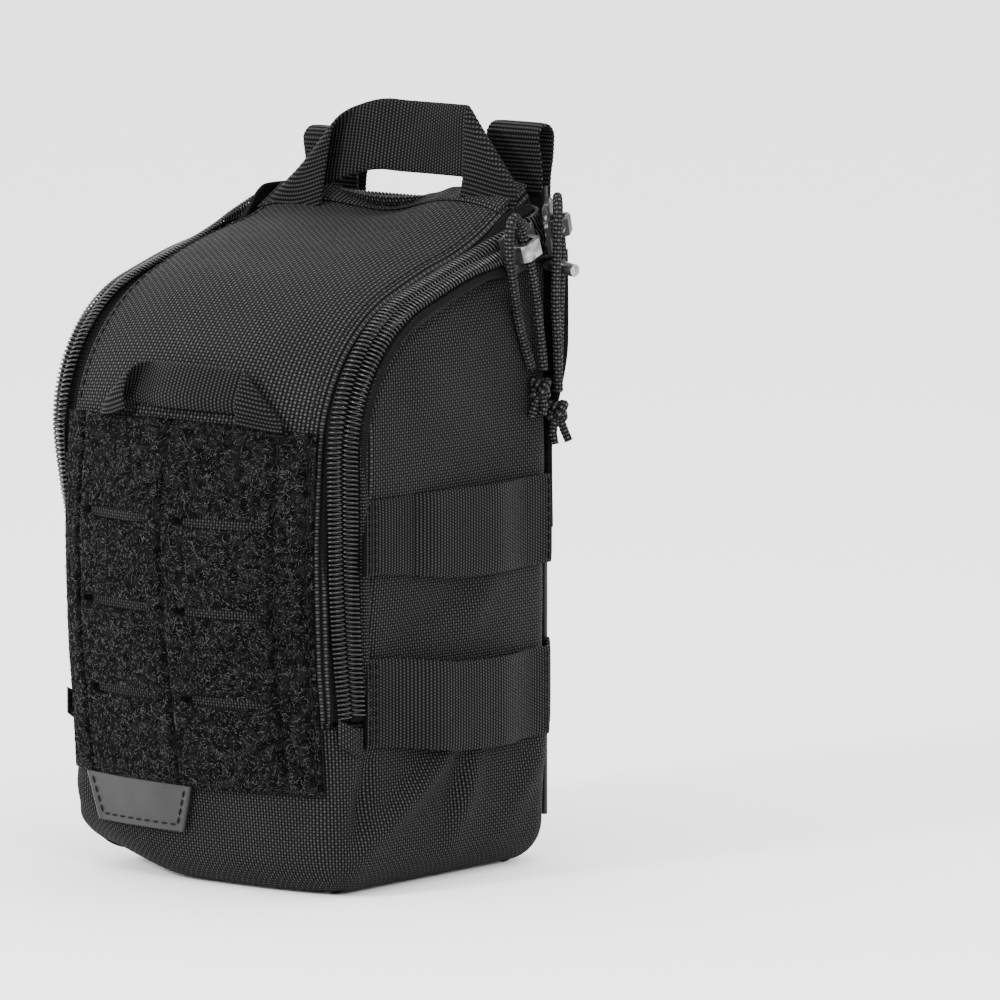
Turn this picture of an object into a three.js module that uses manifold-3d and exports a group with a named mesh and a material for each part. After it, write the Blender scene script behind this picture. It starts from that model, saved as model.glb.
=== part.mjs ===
// A clamshell first-aid pouch in coated nylon: a box-shaped pouch body, a curved
// lid that folds forward, a two-way coil zipper between them, webbing loops,
// a hook-and-loop panel, and two stiff straps that fix it to a webbing grid.
//
// Millimetres. +X is the wearer's left, -Y the front, +Z up. The origin is the
// middle of the base, on the surface that the pouch stands on.

import * as THREE from 'three';
import { mergeVertices } from 'three/addons/utils/BufferGeometryUtils.js';
import Module from 'manifold-3d';

const wasm = await Module();
wasm.setup();

const V = ( x, y, z ) => new THREE.Vector3( x, y, z );
const RAD = Math.PI / 180;
const GAP = 0.3; // between neighbouring pieces

// Driving dimensions
const HALF_WIDTH = 51;
const FRONT = - 50; // y of the front face at its side edges
const BACK = 49;
const CORNER = 9; // plan radius of the body's upright corners
const BASE_ROUND = 12;
const FABRIC = 1.2;
const FOAM = 2.8;
const LINING = 0.8;
const BULGE = 6; // how far the middle of the front stands proud
const FOLD_Z = 50; // height of the lid's fold
const SHOULDER_Z = 124.5; // where the lid starts to curve back
const SLOPE = 20 * RAD;

// Zipper
const TAPE_X = 50.2;
const BAND = 9; // from the chain's middle to the edge of the panel beside it
const TAPE = 0.4; // half the tape's thickness
const CHAIN_GAP = 0.6;
const COIL_REACH = 5;
const COIL_TOP = 3.2;
const CHAIN_Y = FRONT + BAND;
const CHAIN_RADIUS = 40;
const CREST_RADIUS = 16;
const CREST_TURN = 8 * RAD;
const REAR_TILT = 75 * RAD;
const REAR_BAND = 7;
const TURN_LENGTH = 15; // of chain round each rear corner

// Webbing
const WIDE = 25.4;
const NARROW = 19;
const PULL_WIDE = 13;
const WEB = 1.4;

// ---------------------------------------------------------------- helpers

function geometryOf( positions, indices ) {

	let volume = 0;
	const a = V(), b = V(), c = V();
	for ( let i = 0; i < indices.length; i += 3 ) {

		a.fromArray( positions, indices[ i ] * 3 );
		b.fromArray( positions, indices[ i + 1 ] * 3 );
		c.fromArray( positions, indices[ i + 2 ] * 3 );
		volume += a.dot( b.cross( c ) );

	}
	const facing = volume < 0 ? indices.slice().reverse() : indices;
	const geometry = new THREE.BufferGeometry();
	geometry.setAttribute( 'position', new THREE.Float32BufferAttribute( positions, 3 ) );
	geometry.setIndex( facing );
	return geometry;

}

// A closed tube through rings of points: each ring has the same number of points.
function loft( rings, closed = false ) {

	const n = rings[ 0 ].length, positions = [], indices = [];
	for ( const ring of rings ) for ( const p of ring ) positions.push( p.x, p.y, p.z );
	const last = closed ? rings.length : rings.length - 1;
	for ( let i = 0; i < last; i ++ ) {

		for ( let j = 0; j < n; j ++ ) {

			const k = ( j + 1 ) % n, next = ( i + 1 ) % rings.length;
			const a = i * n + j, b = i * n + k, c = next * n + k, d = next * n + j;
			indices.push( a, b, c, a, c, d );

		}

	}
	if ( ! closed ) {

		for ( const [ ring, flip ] of [ [ 0, true ], [ rings.length - 1, false ] ] ) {

			const start = ring * n;
			const flat = flatten( rings[ ring ] );
			for ( const [ p, q, r ] of THREE.ShapeUtils.triangulateShape( flat, [] ) ) {

				if ( flip !== turnsLeft( flat ) ) indices.push( start + p, start + q, start + r );
				else indices.push( start + r, start + q, start + p );

			}

		}

	}
	return geometryOf( positions, indices );

}

// The ring's points in its own plane.
function flatten( ring ) {

	const normal = V();
	ring.forEach( ( p, i ) => normal.add( p.clone().cross( ring[ ( i + 1 ) % ring.length ] ) ) );
	normal.normalize();
	const u = ring[ 1 ].clone().sub( ring[ 0 ] ).projectOnPlane( normal ).normalize();
	const v = normal.clone().cross( u );
	return ring.map( p => new THREE.Vector2( p.dot( u ), p.dot( v ) ) );

}

const turnsLeft = flat => ! THREE.ShapeUtils.isClockWise( flat );

// A slab between two surfaces: at( u, v, depth ) gives a point, depth 0 outside and 1 inside.
function slab( us, vs, at ) {

	const nu = us.length, nv = vs.length, positions = [], indices = [];
	const id = ( i, j, k ) => ( k * nu + i ) * nv + j;
	for ( const k of [ 0, 1 ] ) for ( const u of us ) for ( const v of vs ) positions.push( ...at( u, v, k ).toArray() );
	const quad = ( a, b, c, d ) => indices.push( a, b, c, a, c, d );
	for ( let i = 0; i < nu - 1; i ++ ) {

		for ( let j = 0; j < nv - 1; j ++ ) {

			quad( id( i, j, 0 ), id( i + 1, j, 0 ), id( i + 1, j + 1, 0 ), id( i, j + 1, 0 ) );
			quad( id( i, j, 1 ), id( i, j + 1, 1 ), id( i + 1, j + 1, 1 ), id( i + 1, j, 1 ) );

		}
		quad( id( i, 0, 0 ), id( i, 0, 1 ), id( i + 1, 0, 1 ), id( i + 1, 0, 0 ) );
		quad( id( i, nv - 1, 0 ), id( i + 1, nv - 1, 0 ), id( i + 1, nv - 1, 1 ), id( i, nv - 1, 1 ) );

	}
	for ( let j = 0; j < nv - 1; j ++ ) {

		quad( id( 0, j, 0 ), id( 0, j + 1, 0 ), id( 0, j + 1, 1 ), id( 0, j, 1 ) );
		quad( id( nu - 1, j, 0 ), id( nu - 1, j, 1 ), id( nu - 1, j + 1, 1 ), id( nu - 1, j + 1, 0 ) );

	}
	return geometryOf( positions, indices );

}

const steps = ( from, to, count ) => Array.from( { length: count + 1 }, ( _, i ) => from + ( to - from ) * i / count );

// A strip of rectangular section along stations { p, w, n }.
function strip( stations, section ) {

	return loft( stations.map( s => {

		const [ w0, w1, n0, n1 ] = section( s );
		return [ [ w0, n0 ], [ w1, n0 ], [ w1, n1 ], [ w0, n1 ] ].map( ( [ w, n ] ) =>
			s.p.clone().addScaledVector( s.w, w ).addScaledVector( s.n, n ) );

	} ) );

}

// A flat outline of [ a, b ] points, extruded by depth.
function plate( outline, depth, holes = [] ) {

	const shape = new THREE.Shape( outline.map( ( [ a, b ] ) => new THREE.Vector2( a, b ) ) );
	shape.holes = holes;
	return new THREE.ExtrudeGeometry( shape, { depth, bevelEnabled: false, curveSegments: 10 } );

}

// Turns a plate drawn in ( y, z ) so that it is extruded along +X from x.
const alongX = ( geometry, x ) => geometry.rotateZ( Math.PI / 2 ).rotateY( Math.PI / 2 ).translate( x, 0, 0 );

function box( x0, x1, y0, y1, z0, z1 ) {

	return new THREE.BoxGeometry( x1 - x0, y1 - y0, z1 - z0 )
		.translate( ( x0 + x1 ) / 2, ( y0 + y1 ) / 2, ( z0 + z1 ) / 2 );

}

function solid( geometry ) {

	const bare = geometry.clone();
	bare.deleteAttribute( 'normal' );
	bare.deleteAttribute( 'uv' );
	const merged = mergeVertices( bare, 1e-3 );
	return new wasm.Manifold( new wasm.Mesh( {
		numProp: 3,
		vertProperties: new Float32Array( merged.attributes.position.array ),
		triVerts: new Uint32Array( merged.index.array )
	} ) );

}

function geometryFrom( manifold ) {

	const mesh = manifold.getMesh();
	const geometry = new THREE.BufferGeometry();
	geometry.setAttribute( 'position', new THREE.BufferAttribute( mesh.vertProperties, 3 ) );
	geometry.setIndex( new THREE.BufferAttribute( mesh.triVerts, 1 ) );
	return geometry;

}

const cloth = ( color, roughness = 0.9 ) => new THREE.MeshStandardMaterial( { color, roughness, metalness: 0 } );
const shellCloth = cloth( 0x1c1c1d );
const liningCloth = cloth( 0x2b2c2e );
const foam = cloth( 0x4a4a4a, 1 );
const board = cloth( 0x151515, 0.6 );
const webbing = cloth( 0x1a1a1b, 0.8 );
const pile = cloth( 0x161616, 1 );
const tapeCloth = cloth( 0x171717 );
const nylonCoil = cloth( 0x202020, 0.35 );
const patchRubber = cloth( 0x262626, 0.5 );
const laminate = cloth( 0x101010, 0.45 );
const cordNylon = cloth( 0x1b1b1b, 0.7 );
const elastic = cloth( 0x1e1e1e, 0.85 );
const steel = new THREE.MeshStandardMaterial( { color: 0x6d6f70, roughness: 0.35, metalness: 1 } );

const pouch = new THREE.Group();

function add( name, geometry, material, parent = pouch ) {

	const mesh = new THREE.Mesh( geometry, material );
	mesh.name = name;
	parent.add( mesh );
	return mesh;

}

const mirrored = geometry => geometryFrom( solid( geometry ).mirror( [ 1, 0, 0 ] ) );
const SIDES = [ [ 'right', 1 ], [ 'left', - 1 ] ];
const onSide = ( geometry, side ) => side > 0 ? geometry : mirrored( geometry );

// ---------------------------------------------------------------- the chain's route

// Straight and curved runs in the ( y, z ) plane: { length, turn } with turn in radians, clockwise.
function route( y, z, heading, runs, spacing = 7 ) {

	const points = [ { y, z, heading } ];
	for ( const { length, turn = 0 } of runs ) {

		const count = Math.max( turn ? Math.ceil( turn / ( 9 * RAD ) ) : Math.ceil( length / ( 3 * spacing ) ), 1 );
		for ( let i = 0; i < count; i ++ ) {

			const step = length / count, bend = turn / count;
			const chord = bend ? step * Math.sin( bend / 2 ) / ( bend / 2 ) : step;
			const at = points[ points.length - 1 ];
			const middle = at.heading - bend / 2;
			points.push( {
				y: at.y + chord * Math.cos( middle ),
				z: at.z + chord * Math.sin( middle ),
				heading: at.heading - bend
			} );

		}

	}
	return points;

}

const QUARTER = 90 * RAD;
const SHOULDER = QUARTER - SLOPE;
const CHAIN_SLOPE_LENGTH = 54;

const sideChain = route( CHAIN_Y, FOLD_Z, QUARTER, [
	{ length: SHOULDER_Z - FOLD_Z },
	{ length: CHAIN_RADIUS * SHOULDER, turn: SHOULDER },
	{ length: CHAIN_SLOPE_LENGTH },
	{ length: CREST_RADIUS * CREST_TURN, turn: CREST_TURN }
] ).map( ( { y, z, heading } ) => ( {
	p: V( TAPE_X, y, z ),
	t: V( 0, Math.cos( heading ), Math.sin( heading ) ),
	w: V( 0, - Math.sin( heading ), Math.cos( heading ) ),
	n: V( 1, 0, 0 )
} ) );

// Round the rear corner the frame turns evenly from the side plane to the rear one.
const sideEnd = sideChain[ sideChain.length - 1 ];
const frameOf = ( t, w, n ) => new THREE.Quaternion().setFromRotationMatrix( new THREE.Matrix4().makeBasis( t, w, n ) );
const rearW = V( 0, - Math.cos( REAR_TILT ), Math.sin( REAR_TILT ) );
const rearT = V( - 1, 0, 0 );
const rearN = rearT.clone().cross( rearW );
const fromFrame = frameOf( sideEnd.t, sideEnd.w, sideEnd.n );
const toFrame = frameOf( rearT, rearW, rearN );
const TURN_STEPS = 6;
const cornerChain = [];
let here = sideEnd.p.clone();
for ( let i = 1; i <= TURN_STEPS; i ++ ) {

	const between = fromFrame.clone().slerp( toFrame, ( i - 0.5 ) / TURN_STEPS );
	here = here.clone().addScaledVector( V( 1, 0, 0 ).applyQuaternion( between ), TURN_LENGTH / TURN_STEPS );
	const at = fromFrame.clone().slerp( toFrame, i / TURN_STEPS );
	cornerChain.push( {
		p: here,
		t: V( 1, 0, 0 ).applyQuaternion( at ),
		w: V( 0, 1, 0 ).applyQuaternion( at ),
		n: V( 0, 0, 1 ).applyQuaternion( at ),
		turn: i / TURN_STEPS
	} );

}
const rearEnd = cornerChain[ cornerChain.length - 1 ];

// ---------------------------------------------------------------- the lid's surface

// The lid's profile ends where the rear half of the tape starts.
const lidEnd = rearEnd.p.clone().addScaledVector( rearW, REAR_BAND );
const lidRadius = CHAIN_RADIUS + BAND;
const archEnd = V( 0, FRONT + lidRadius * ( 1 - Math.sin( SLOPE ) ), SHOULDER_Z + lidRadius * Math.cos( SLOPE ) );
const rise = Math.tan( SLOPE );
const acrossRear = Math.sin( SLOPE ) + Math.sin( REAR_TILT );
const downRear = Math.cos( SLOPE ) - Math.cos( REAR_TILT );
const REAR_RADIUS = ( archEnd.z + ( lidEnd.y - archEnd.y ) * rise - lidEnd.z ) / ( acrossRear * rise + downRear );
const slopeRun = ( lidEnd.y - REAR_RADIUS * acrossRear - archEnd.y ) / Math.cos( SLOPE );

const lidProfile = route( FRONT, FOLD_Z, QUARTER, [
	{ length: 40 },
	{ length: SHOULDER_Z - FOLD_Z - 40 },
	{ length: lidRadius * SHOULDER, turn: SHOULDER },
	{ length: slopeRun },
	{ length: REAR_RADIUS * ( SLOPE + REAR_TILT ), turn: SLOPE + REAR_TILT }
] );
lidProfile.reduce( ( a, b ) => {

	b.s = ( a.s || 0 ) + Math.hypot( b.y - a.y, b.z - a.z );
	return b;

} );
lidProfile[ 0 ].s = 0;
const lidLength = lidProfile[ lidProfile.length - 1 ].s;
const rearStart = SHOULDER_Z - FOLD_Z + lidRadius * SHOULDER + slopeRun;

// How full the front is, from the base to the rear seam, by length from the fold.
const swell = s => Math.cos( ( s - 55 ) / 106 ) ** 2;
const bulge = ( x, s ) => BULGE * ( 1 - Math.min( 1, Math.abs( x ) / HALF_WIDTH ) ** 2 ) * swell( s );

function lidAt( s ) {

	let i = 0;
	while ( i < lidProfile.length - 2 && lidProfile[ i + 1 ].s < s ) i ++;
	const a = lidProfile[ i ], b = lidProfile[ i + 1 ];
	const f = ( s - a.s ) / ( b.s - a.s );
	const mix = key => a[ key ] + ( b[ key ] - a[ key ] ) * f;
	return { y: mix( 'y' ), z: mix( 'z' ), heading: mix( 'heading' ) };

}

// A point over the lid: proud is measured outwards from its surface.
function lidPoint( x, s, proud ) {

	const { y, z, heading } = lidAt( s );
	const out = proud + bulge( x, s );
	return V( x, y - Math.sin( heading ) * out, z + Math.cos( heading ) * out );

}

// Half the lid's width: it draws in round the rear corners.
function lidHalfWidth( s ) {

	const along = Math.max( 0, ( s - rearStart ) / ( lidLength - rearStart ) );
	return rearEnd.p.x + ( TAPE_X + TAPE - rearEnd.p.x ) * Math.cos( along * QUARTER );

}

const lidRows = ( from, to ) => [ from, ...lidProfile.map( q => q.s ).filter( s => s > from + 1 && s < to - 1 ), to ];
const ACROSS = steps( - 1, 1, 8 );

function lidLayer( outer, thickness, inset, from, to ) {

	return slab( ACROSS, lidRows( from, to ), ( u, s, k ) =>
		lidPoint( u * ( lidHalfWidth( s ) - inset ), s, - outer - k * thickness ) );

}

const FOAM_DEPTH = FABRIC + GAP;
const LINING_DEPTH = FOAM_DEPTH + FOAM + GAP;
const POCKET_DEPTH = LINING_DEPTH + LINING + GAP;

const lid = new THREE.Group();
pouch.add( lid );
add( 'lid_outer', lidLayer( 0, FABRIC, 0, GAP / 2, lidLength ), shellCloth, lid );
add( 'lid_foam', lidLayer( FOAM_DEPTH, FOAM, 5, 2, rearStart ), foam, lid );
add( 'lid_lining', lidLayer( LINING_DEPTH, LINING, 4, 1, rearStart + 4 ), liningCloth, lid );
add( 'lid_pocket', lidLayer( POCKET_DEPTH, 1, 12, 6, 72 ), elastic, lid );

// ---------------------------------------------------------------- the body's panels

// The body's outside, moved inwards by inset.
function envelope( inset ) {

	const round = Array.from( { length: 5 }, ( _, i ) => i / 4 * QUARTER ).map( a => ( {
		z: BASE_ROUND - ( BASE_ROUND - inset ) * Math.cos( a ),
		draw: BASE_ROUND - ( BASE_ROUND - inset ) * Math.sin( a )
	} ) );
	const levels = [ ...round, ...[ 30, FOLD_Z, 190 ].map( z => ( { z, draw: inset } ) ) ];
	return loft( levels.map( ( { z, draw } ) => {

		const hx = HALF_WIDTH - draw, front = FRONT + draw, back = BACK - draw;
		const r = Math.max( CORNER - inset, 1 );
		const ring = steps( - 1, 1, 8 ).map( u => V( u * ( hx - r ), front, z ) );
		for ( const [ cx, cy, from ] of [ [ hx - r, front + r, - 90 ], [ hx - r, back - r, 0 ], [ r - hx, back - r, 90 ], [ r - hx, front + r, 180 ] ] ) {

			for ( const a of steps( from, from + 90, 4 ) ) ring.push( V( cx + r * Math.cos( a * RAD ), cy + r * Math.sin( a * RAD ), z ) );

		}
		// The front corners meet the front's own ends, so those two points are dropped.
		ring.splice( 9, 1 );
		ring.splice( ring.length - 1, 1 );
		return ring.map( p => p.y < 0 ? V( p.x, p.y - bulge( p.x, z - FOLD_Z ), p.z ) : p );

	} ) );

}

const layer = ( outer, thickness ) => solid( envelope( outer ) ).subtract( solid( envelope( outer + thickness ) ) );
const outerLayer = layer( 0, FABRIC );
const foamLayer = layer( FOAM_DEPTH, FOAM );
const liningLayer = layer( LINING_DEPTH, LINING );
const sideLiningLayer = layer( FOAM_DEPTH, LINING );
const cut = ( whole, geometry ) => geometryFrom( whole.intersect( solid( geometry ) ) );

const BASE_SEAM = 4;
const SPLIT = HALF_WIDTH - CORNER; // between the side panels and the front and back ones
const backTop = rearEnd.p.z - ( REAR_BAND + GAP ) * Math.sin( REAR_TILT );

// A side panel's outline: the fold, the chain's route moved in by the band, the rear edge.
function sideOutline( trim, low ) {

	const upper = sideChain.map( s => s.p.clone().addScaledVector( s.w, - BAND - trim ) );
	const rearTop = upper[ upper.length - 1 ];
	return [
		[ - 70, low ], [ - 70, FOLD_Z - GAP - trim ], [ upper[ 0 ].y, FOLD_Z - GAP - trim ],
		...upper.slice( 1 ).map( p => [ p.y, p.z ] ),
		[ rearTop.y + 3, rearTop.z - 1 ], [ 60, rearTop.z - 1 ], [ 60, low ]
	];

}

const sidePrism = ( trim, low ) => alongX( plate( sideOutline( trim, low ), 20 ), SPLIT + GAP / 2 );
const FAR = 80;
const frontBox = ( top, low, half ) => box( - half, half, - FAR, 0, low, top );
const backBox = ( top, low, half ) => box( - half, half, 0, FAR, low, top );
const inner = SPLIT - GAP / 2;

add( 'bottom_outer', cut( outerLayer, box( - FAR, FAR, - FAR, FAR, - 5, BASE_SEAM ) ), shellCloth );
add( 'bottom_board', cut( foamLayer, box( - FAR, FAR, - FAR, FAR, - 5, BASE_SEAM - 0.4 ) ), board );
add( 'front_lower_outer', cut( outerLayer, frontBox( FOLD_Z - GAP, BASE_SEAM + GAP, inner ) ), shellCloth );
add( 'front_lower_lining', cut( sideLiningLayer, frontBox( FOLD_Z - 1, BASE_SEAM + 1, inner ) ), liningCloth );
add( 'back_outer', cut( outerLayer, backBox( backTop, BASE_SEAM + GAP, inner ) ), shellCloth );
add( 'back_board', cut( foamLayer, backBox( backTop - 6, BASE_SEAM + 5, inner - 4 ) ), board );
add( 'back_lining', cut( liningLayer, backBox( backTop - 4, LINING_DEPTH + 3, inner - 4 ) ), liningCloth );
const sideOuter = cut( outerLayer, sidePrism( 0, BASE_SEAM + GAP ) );
const sideLining = cut( sideLiningLayer, sidePrism( 2, BASE_SEAM + 1 ) );
for ( const [ name, side ] of SIDES ) {

	add( `side_${ name }_outer`, onSide( sideOuter, side ), shellCloth );
	add( `side_${ name }_lining`, onSide( sideLining, side ), liningCloth );

}

// ---------------------------------------------------------------- the zipper

// How far the tape runs under the lid's edge, measured along w.
function lidReach( station ) {

	const hem = FABRIC + GAP;
	let best = BAND - hem;
	for ( let r = best; r < 20; r += 0.25 ) {

		const y = station.p.y + station.w.y * r, z = station.p.z + station.w.z * r;
		const near = Math.min( ...steps( 0, lidLength, 150 ).map( s => Math.hypot( lidAt( s ).y - y, lidAt( s ).z - z ) ) );
		if ( near < hem + 0.25 ) break;
		best = r;

	}
	return best;

}

const halfChain = [
	...sideChain.map( s => ( { ...s, lidEdge: lidReach( s ), bodyEdge: BAND - GAP } ) ),
	...cornerChain.map( s => ( { ...s, lidEdge: REAR_BAND - GAP, bodyEdge: REAR_BAND } ) )
];
const lastReach = halfChain[ sideChain.length - 1 ].lidEdge;
for ( const s of halfChain ) {

	if ( s.turn === undefined ) continue;
	s.lidEdge = lastReach + ( REAR_BAND - GAP - lastReach ) * Math.sqrt( s.turn ) - 1.5 * Math.sin( s.turn * Math.PI );
	s.bodyEdge = BAND - GAP + ( REAR_BAND - BAND ) * s.turn;

}
const across = s => ( { ...s, p: V( - s.p.x, s.p.y, s.p.z ), w: V( - s.w.x, s.w.y, s.w.z ), n: V( - s.n.x, s.n.y, s.n.z ) } );
const chain = [ ...halfChain, ...halfChain.map( across ).reverse() ];

add( 'zip_tape_body', strip( chain, s => [ - s.bodyEdge, - CHAIN_GAP, - TAPE, TAPE ] ), tapeCloth );
add( 'zip_coil_body', strip( chain, () => [ - COIL_REACH, - CHAIN_GAP, TAPE + GAP, COIL_TOP ] ), nylonCoil );
const lidChain = chain.map( s => ( { ...s } ) );
for ( const end of [ lidChain[ 0 ], lidChain[ lidChain.length - 1 ] ] ) end.p = end.p.clone().add( V( 0, 0, GAP ) );
add( 'zip_tape_lid', strip( lidChain, s => [ CHAIN_GAP, s.lidEdge, - TAPE, TAPE ] ), tapeCloth, lid );
add( 'zip_coil_lid', strip( lidChain, () => [ CHAIN_GAP, COIL_REACH, TAPE + GAP, COIL_TOP ] ), nylonCoil, lid );

// ---------------------------------------------------------------- hook-and-loop panel and patch

const PANEL_HALF = 46.5;
const PANEL_TOP = 82; // along the lid from the fold
const PANEL_BOTTOM = 29.5;
const PANEL_THICK = 2.2;
const SLOT_Z = [ 54.8, 80.2, 105.6 ];
const SLOT_X = [ 4.5, 32.5 ];
const SLOT_HEIGHT = 2.6;

// Over the body's lower front: z replaces the length along the lid.
const lowFront = ( x, z, proud ) => V( x, FRONT - proud - bulge( x, z - FOLD_Z ), z );
const across10 = steps( - PANEL_HALF, PANEL_HALF, 8 );
let panel = solid( slab( across10, steps( GAP / 2, PANEL_TOP, 7 ), ( x, s, k ) =>
	lidPoint( x, s, GAP + PANEL_THICK * ( 1 - k ) ) ) );
for ( const z of SLOT_Z ) {

	for ( const side of [ 1, - 1 ] ) {

		const [ a, b ] = SLOT_X.map( x => x * side ).sort( ( p, q ) => p - q );
		panel = panel.subtract( solid( box( a, b, - FAR, - 30, z - SLOT_HEIGHT / 2, z + SLOT_HEIGHT / 2 ) ) );

	}

}
add( 'loop_panel_upper', geometryFrom( panel ), pile, lid );
add( 'loop_panel_lower', slab( across10, steps( PANEL_BOTTOM, FOLD_Z - GAP / 2, 2 ), ( x, z, k ) =>
	lowFront( x, z, GAP + PANEL_THICK * ( 1 - k ) ) ), pile );

const PATCH_LOW = 15.5;
add( 'label_patch', slab( steps( - 1, 1, 5 ), steps( PATCH_LOW, PANEL_BOTTOM - GAP, 2 ), ( u, z, k ) => {

	const half = 17 + 4.5 * ( z - PATCH_LOW ) / ( PANEL_BOTTOM - PATCH_LOW );
	return lowFront( - 18.5 + u * half, z, GAP + 1.1 * ( 1 - k ) );

} ), patchRubber );

// ---------------------------------------------------------------- webbing on the body

// A strap in plan, from { at, off } points: at along the panel, off its inner face's distance from it.
function strap( points, thickness, z0, height ) {

	const outline = [ ...points.map( ( [ at, off ] ) => [ off, at ] ), ...points.map( ( [ at, off ] ) => [ off + thickness, at ] ).reverse() ];
	return plate( outline, height ).translate( 0, 0, z0 );

}

const SIDE_STRAP_Z = [ 50.5, 100 ];
const STRAP_STAND = 5.4; // how far the middle of a side strap stands off the panel
const sideStrapPoints = steps( 0, 1, 14 ).map( f => [
	- 35 + 79 * f,
	HALF_WIDTH + GAP + STRAP_STAND * THREE.MathUtils.smoothstep( f, 0.08, 0.36 ) * THREE.MathUtils.smoothstep( 1 - f, 0.08, 0.36 )
] );
SIDE_STRAP_Z.forEach( ( z, i ) => SIDES.forEach( ( [ name, side ] ) =>
	add( `side_strap_${ name }_${ [ 'lower', 'upper' ][ i ] }`,
		onSide( strap( sideStrapPoints, WEB, z - WIDE / 2, WIDE ), side ), webbing ) ) );

const STICK_X = 35;
const STICK_HALF = NARROW / 2;
const STICK_THICK = 1.8;
const ROW_STAND = 5.3;
const rowPoints = [ [ 0, 0 ], [ STICK_X - STICK_HALF - 2.5, 0 ], [ STICK_X - STICK_HALF - 0.8, ROW_STAND ], [ STICK_X + STICK_HALF + 0.8, ROW_STAND ], [ STICK_X + STICK_HALF + 2.2, 0.6 ] ];
const wholeRow = [ ...rowPoints.slice( 1 ).map( ( [ x, off ] ) => [ - x, off ] ).reverse(), ...rowPoints.slice( 1 ) ];
const ROW_Z = [ 50.5, 100, 149.5 ];
ROW_Z.forEach( ( z, i ) => add( `back_row_${ i + 1 }`,
	strap( wholeRow, WEB, z - WIDE / 2, WIDE ).rotateZ( - Math.PI / 2 ).scale( - 1, - 1, 1 ).translate( 0, BACK + GAP, 0 ), webbing ) );

// Two stiff straps slide down behind the rows; each ends in a webbing loop.
const STICK_LOW = 12;
const STICK_TOP = 193;
const stickIn = BACK + 3.4;
const LOOP_TOP = 211;


function stickLoop() {

	// The inside face of the loop, up behind the stick and down in front of it.
	const rear = stickIn + STICK_THICK + GAP, front = stickIn - GAP;
	const inside = [ [ rear, 168 ], [ rear, 194 ], [ rear + 1.6, 203 ] ];
	const middle = ( rear + front ) / 2, half = ( rear - front ) / 2 + 1.8, crown = LOOP_TOP - WEB - half;
	for ( const a of steps( 0, 180, 8 ) ) inside.push( [ middle + half * Math.cos( a * RAD ), crown + half * Math.sin( a * RAD ) ] );
	inside.push( [ front - 0.6, 201 ], [ front, 196 ], [ front, 190.5 ] );
	const outside = inside.map( ( [ y, z ], i ) => {

		const [ y0, z0 ] = inside[ Math.max( 0, i - 1 ) ], [ y1, z1 ] = inside[ Math.min( inside.length - 1, i + 1 ) ];
		const long = Math.hypot( y1 - y0, z1 - z0 );
		return [ y + WEB * ( z1 - z0 ) / long, z - WEB * ( y1 - y0 ) / long ];

	} );
	return alongX( plate( [ ...inside, ...outside.reverse() ], NARROW ), STICK_X - STICK_HALF );

}

for ( const [ name, side ] of SIDES ) {

	add( `stick_${ name }`, onSide( box( STICK_X - STICK_HALF, STICK_X + STICK_HALF, stickIn, stickIn + STICK_THICK, STICK_LOW, STICK_TOP ), side ), laminate );
	add( `stick_loop_${ name }`, onSide( stickLoop(), side ), webbing );
	// A folded fabric tab covers the foot of the zipper.
	const foot = box( HALF_WIDTH + GAP, HALF_WIDTH + GAP + 1, FRONT + 4, - 34 - 2.5, FOLD_Z - 7, FOLD_Z - 0.6 );
	add( `zip_end_tab_${ name }`, onSide( foot, side ), shellCloth );

}

// Elastic bands across the inside of the back hold dressings.
const bandFace = BACK - LINING_DEPTH - LINING - GAP;
[ [ 'lower', 45 ], [ 'upper', 110 ] ].forEach( ( [ name, z ] ) =>
	add( `inner_elastic_${ name }`, box( - 36, 36, bandFace - 1.2, bandFace, z - 19, z + 19 ), elastic ) );

// ---------------------------------------------------------------- handle and front pull

// Webbing that stands on its sewn ends and turns on edge between them. Half is listed, from a foot to the middle.
function gripStrap( half, wide ) {

	const right = half.map( ( [ p, w ] ) => ( { p: V( ...p ), w: V( ...w ).normalize() } ) );
	const left = right.slice( 0, - 1 ).reverse().map( s => ( { p: V( - s.p.x, s.p.y, s.p.z ), w: V( - s.w.x, s.w.y, s.w.z ) } ) );
	const stations = [ ...right, ...left ];
	stations.forEach( ( s, i ) => {

		const a = stations[ Math.max( 0, i - 1 ) ].p, b = stations[ Math.min( stations.length - 1, i + 1 ) ].p;
		s.t = b.clone().sub( a ).normalize();
		s.n = s.t.clone().cross( s.w ).normalize();
		s.w = s.n.clone().cross( s.t ).normalize();

	} );
	return strip( stations, () => [ - wide / 2, wide / 2, - WEB / 2, WEB / 2 ] );

}

const seam = lidPoint( 37, rearStart - 5, 0 );
const handleFoot = [ 37, seam.y, seam.z + 1.4 ];
const handle = [
	[ handleFoot, [ 1, 0, 0 ] ],
	[ [ 36.6, seam.y + 0.5, seam.z + 5 ], [ 1, 0.05, 0.1 ] ],
	[ [ 35.4, seam.y + 1.8, seam.z + 10 ], [ 1, 0.1, 0.35 ] ],
	[ [ 32.5, seam.y + 4, seam.z + 14.5 ], [ 0.8, 0, 0.9 ] ],
	[ [ 27.5, seam.y + 6.5, seam.z + 16.6 ], [ 0.35, - 0.1, 1 ] ],
	[ [ 20, seam.y + 9, seam.z + 17.2 ], [ 0.08, - 0.05, 1 ] ],
	[ [ 10, seam.y + 10.6, seam.z + 17.7 ], [ 0, 0, 1 ] ],
	[ [ 0, seam.y + 11, seam.z + 18 ], [ 0, 0, 1 ] ]
];
const handleGroup = new THREE.Group();
lid.add( handleGroup );
add( 'top_handle', gripStrap( handle, NARROW ), webbing, handleGroup );

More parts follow.
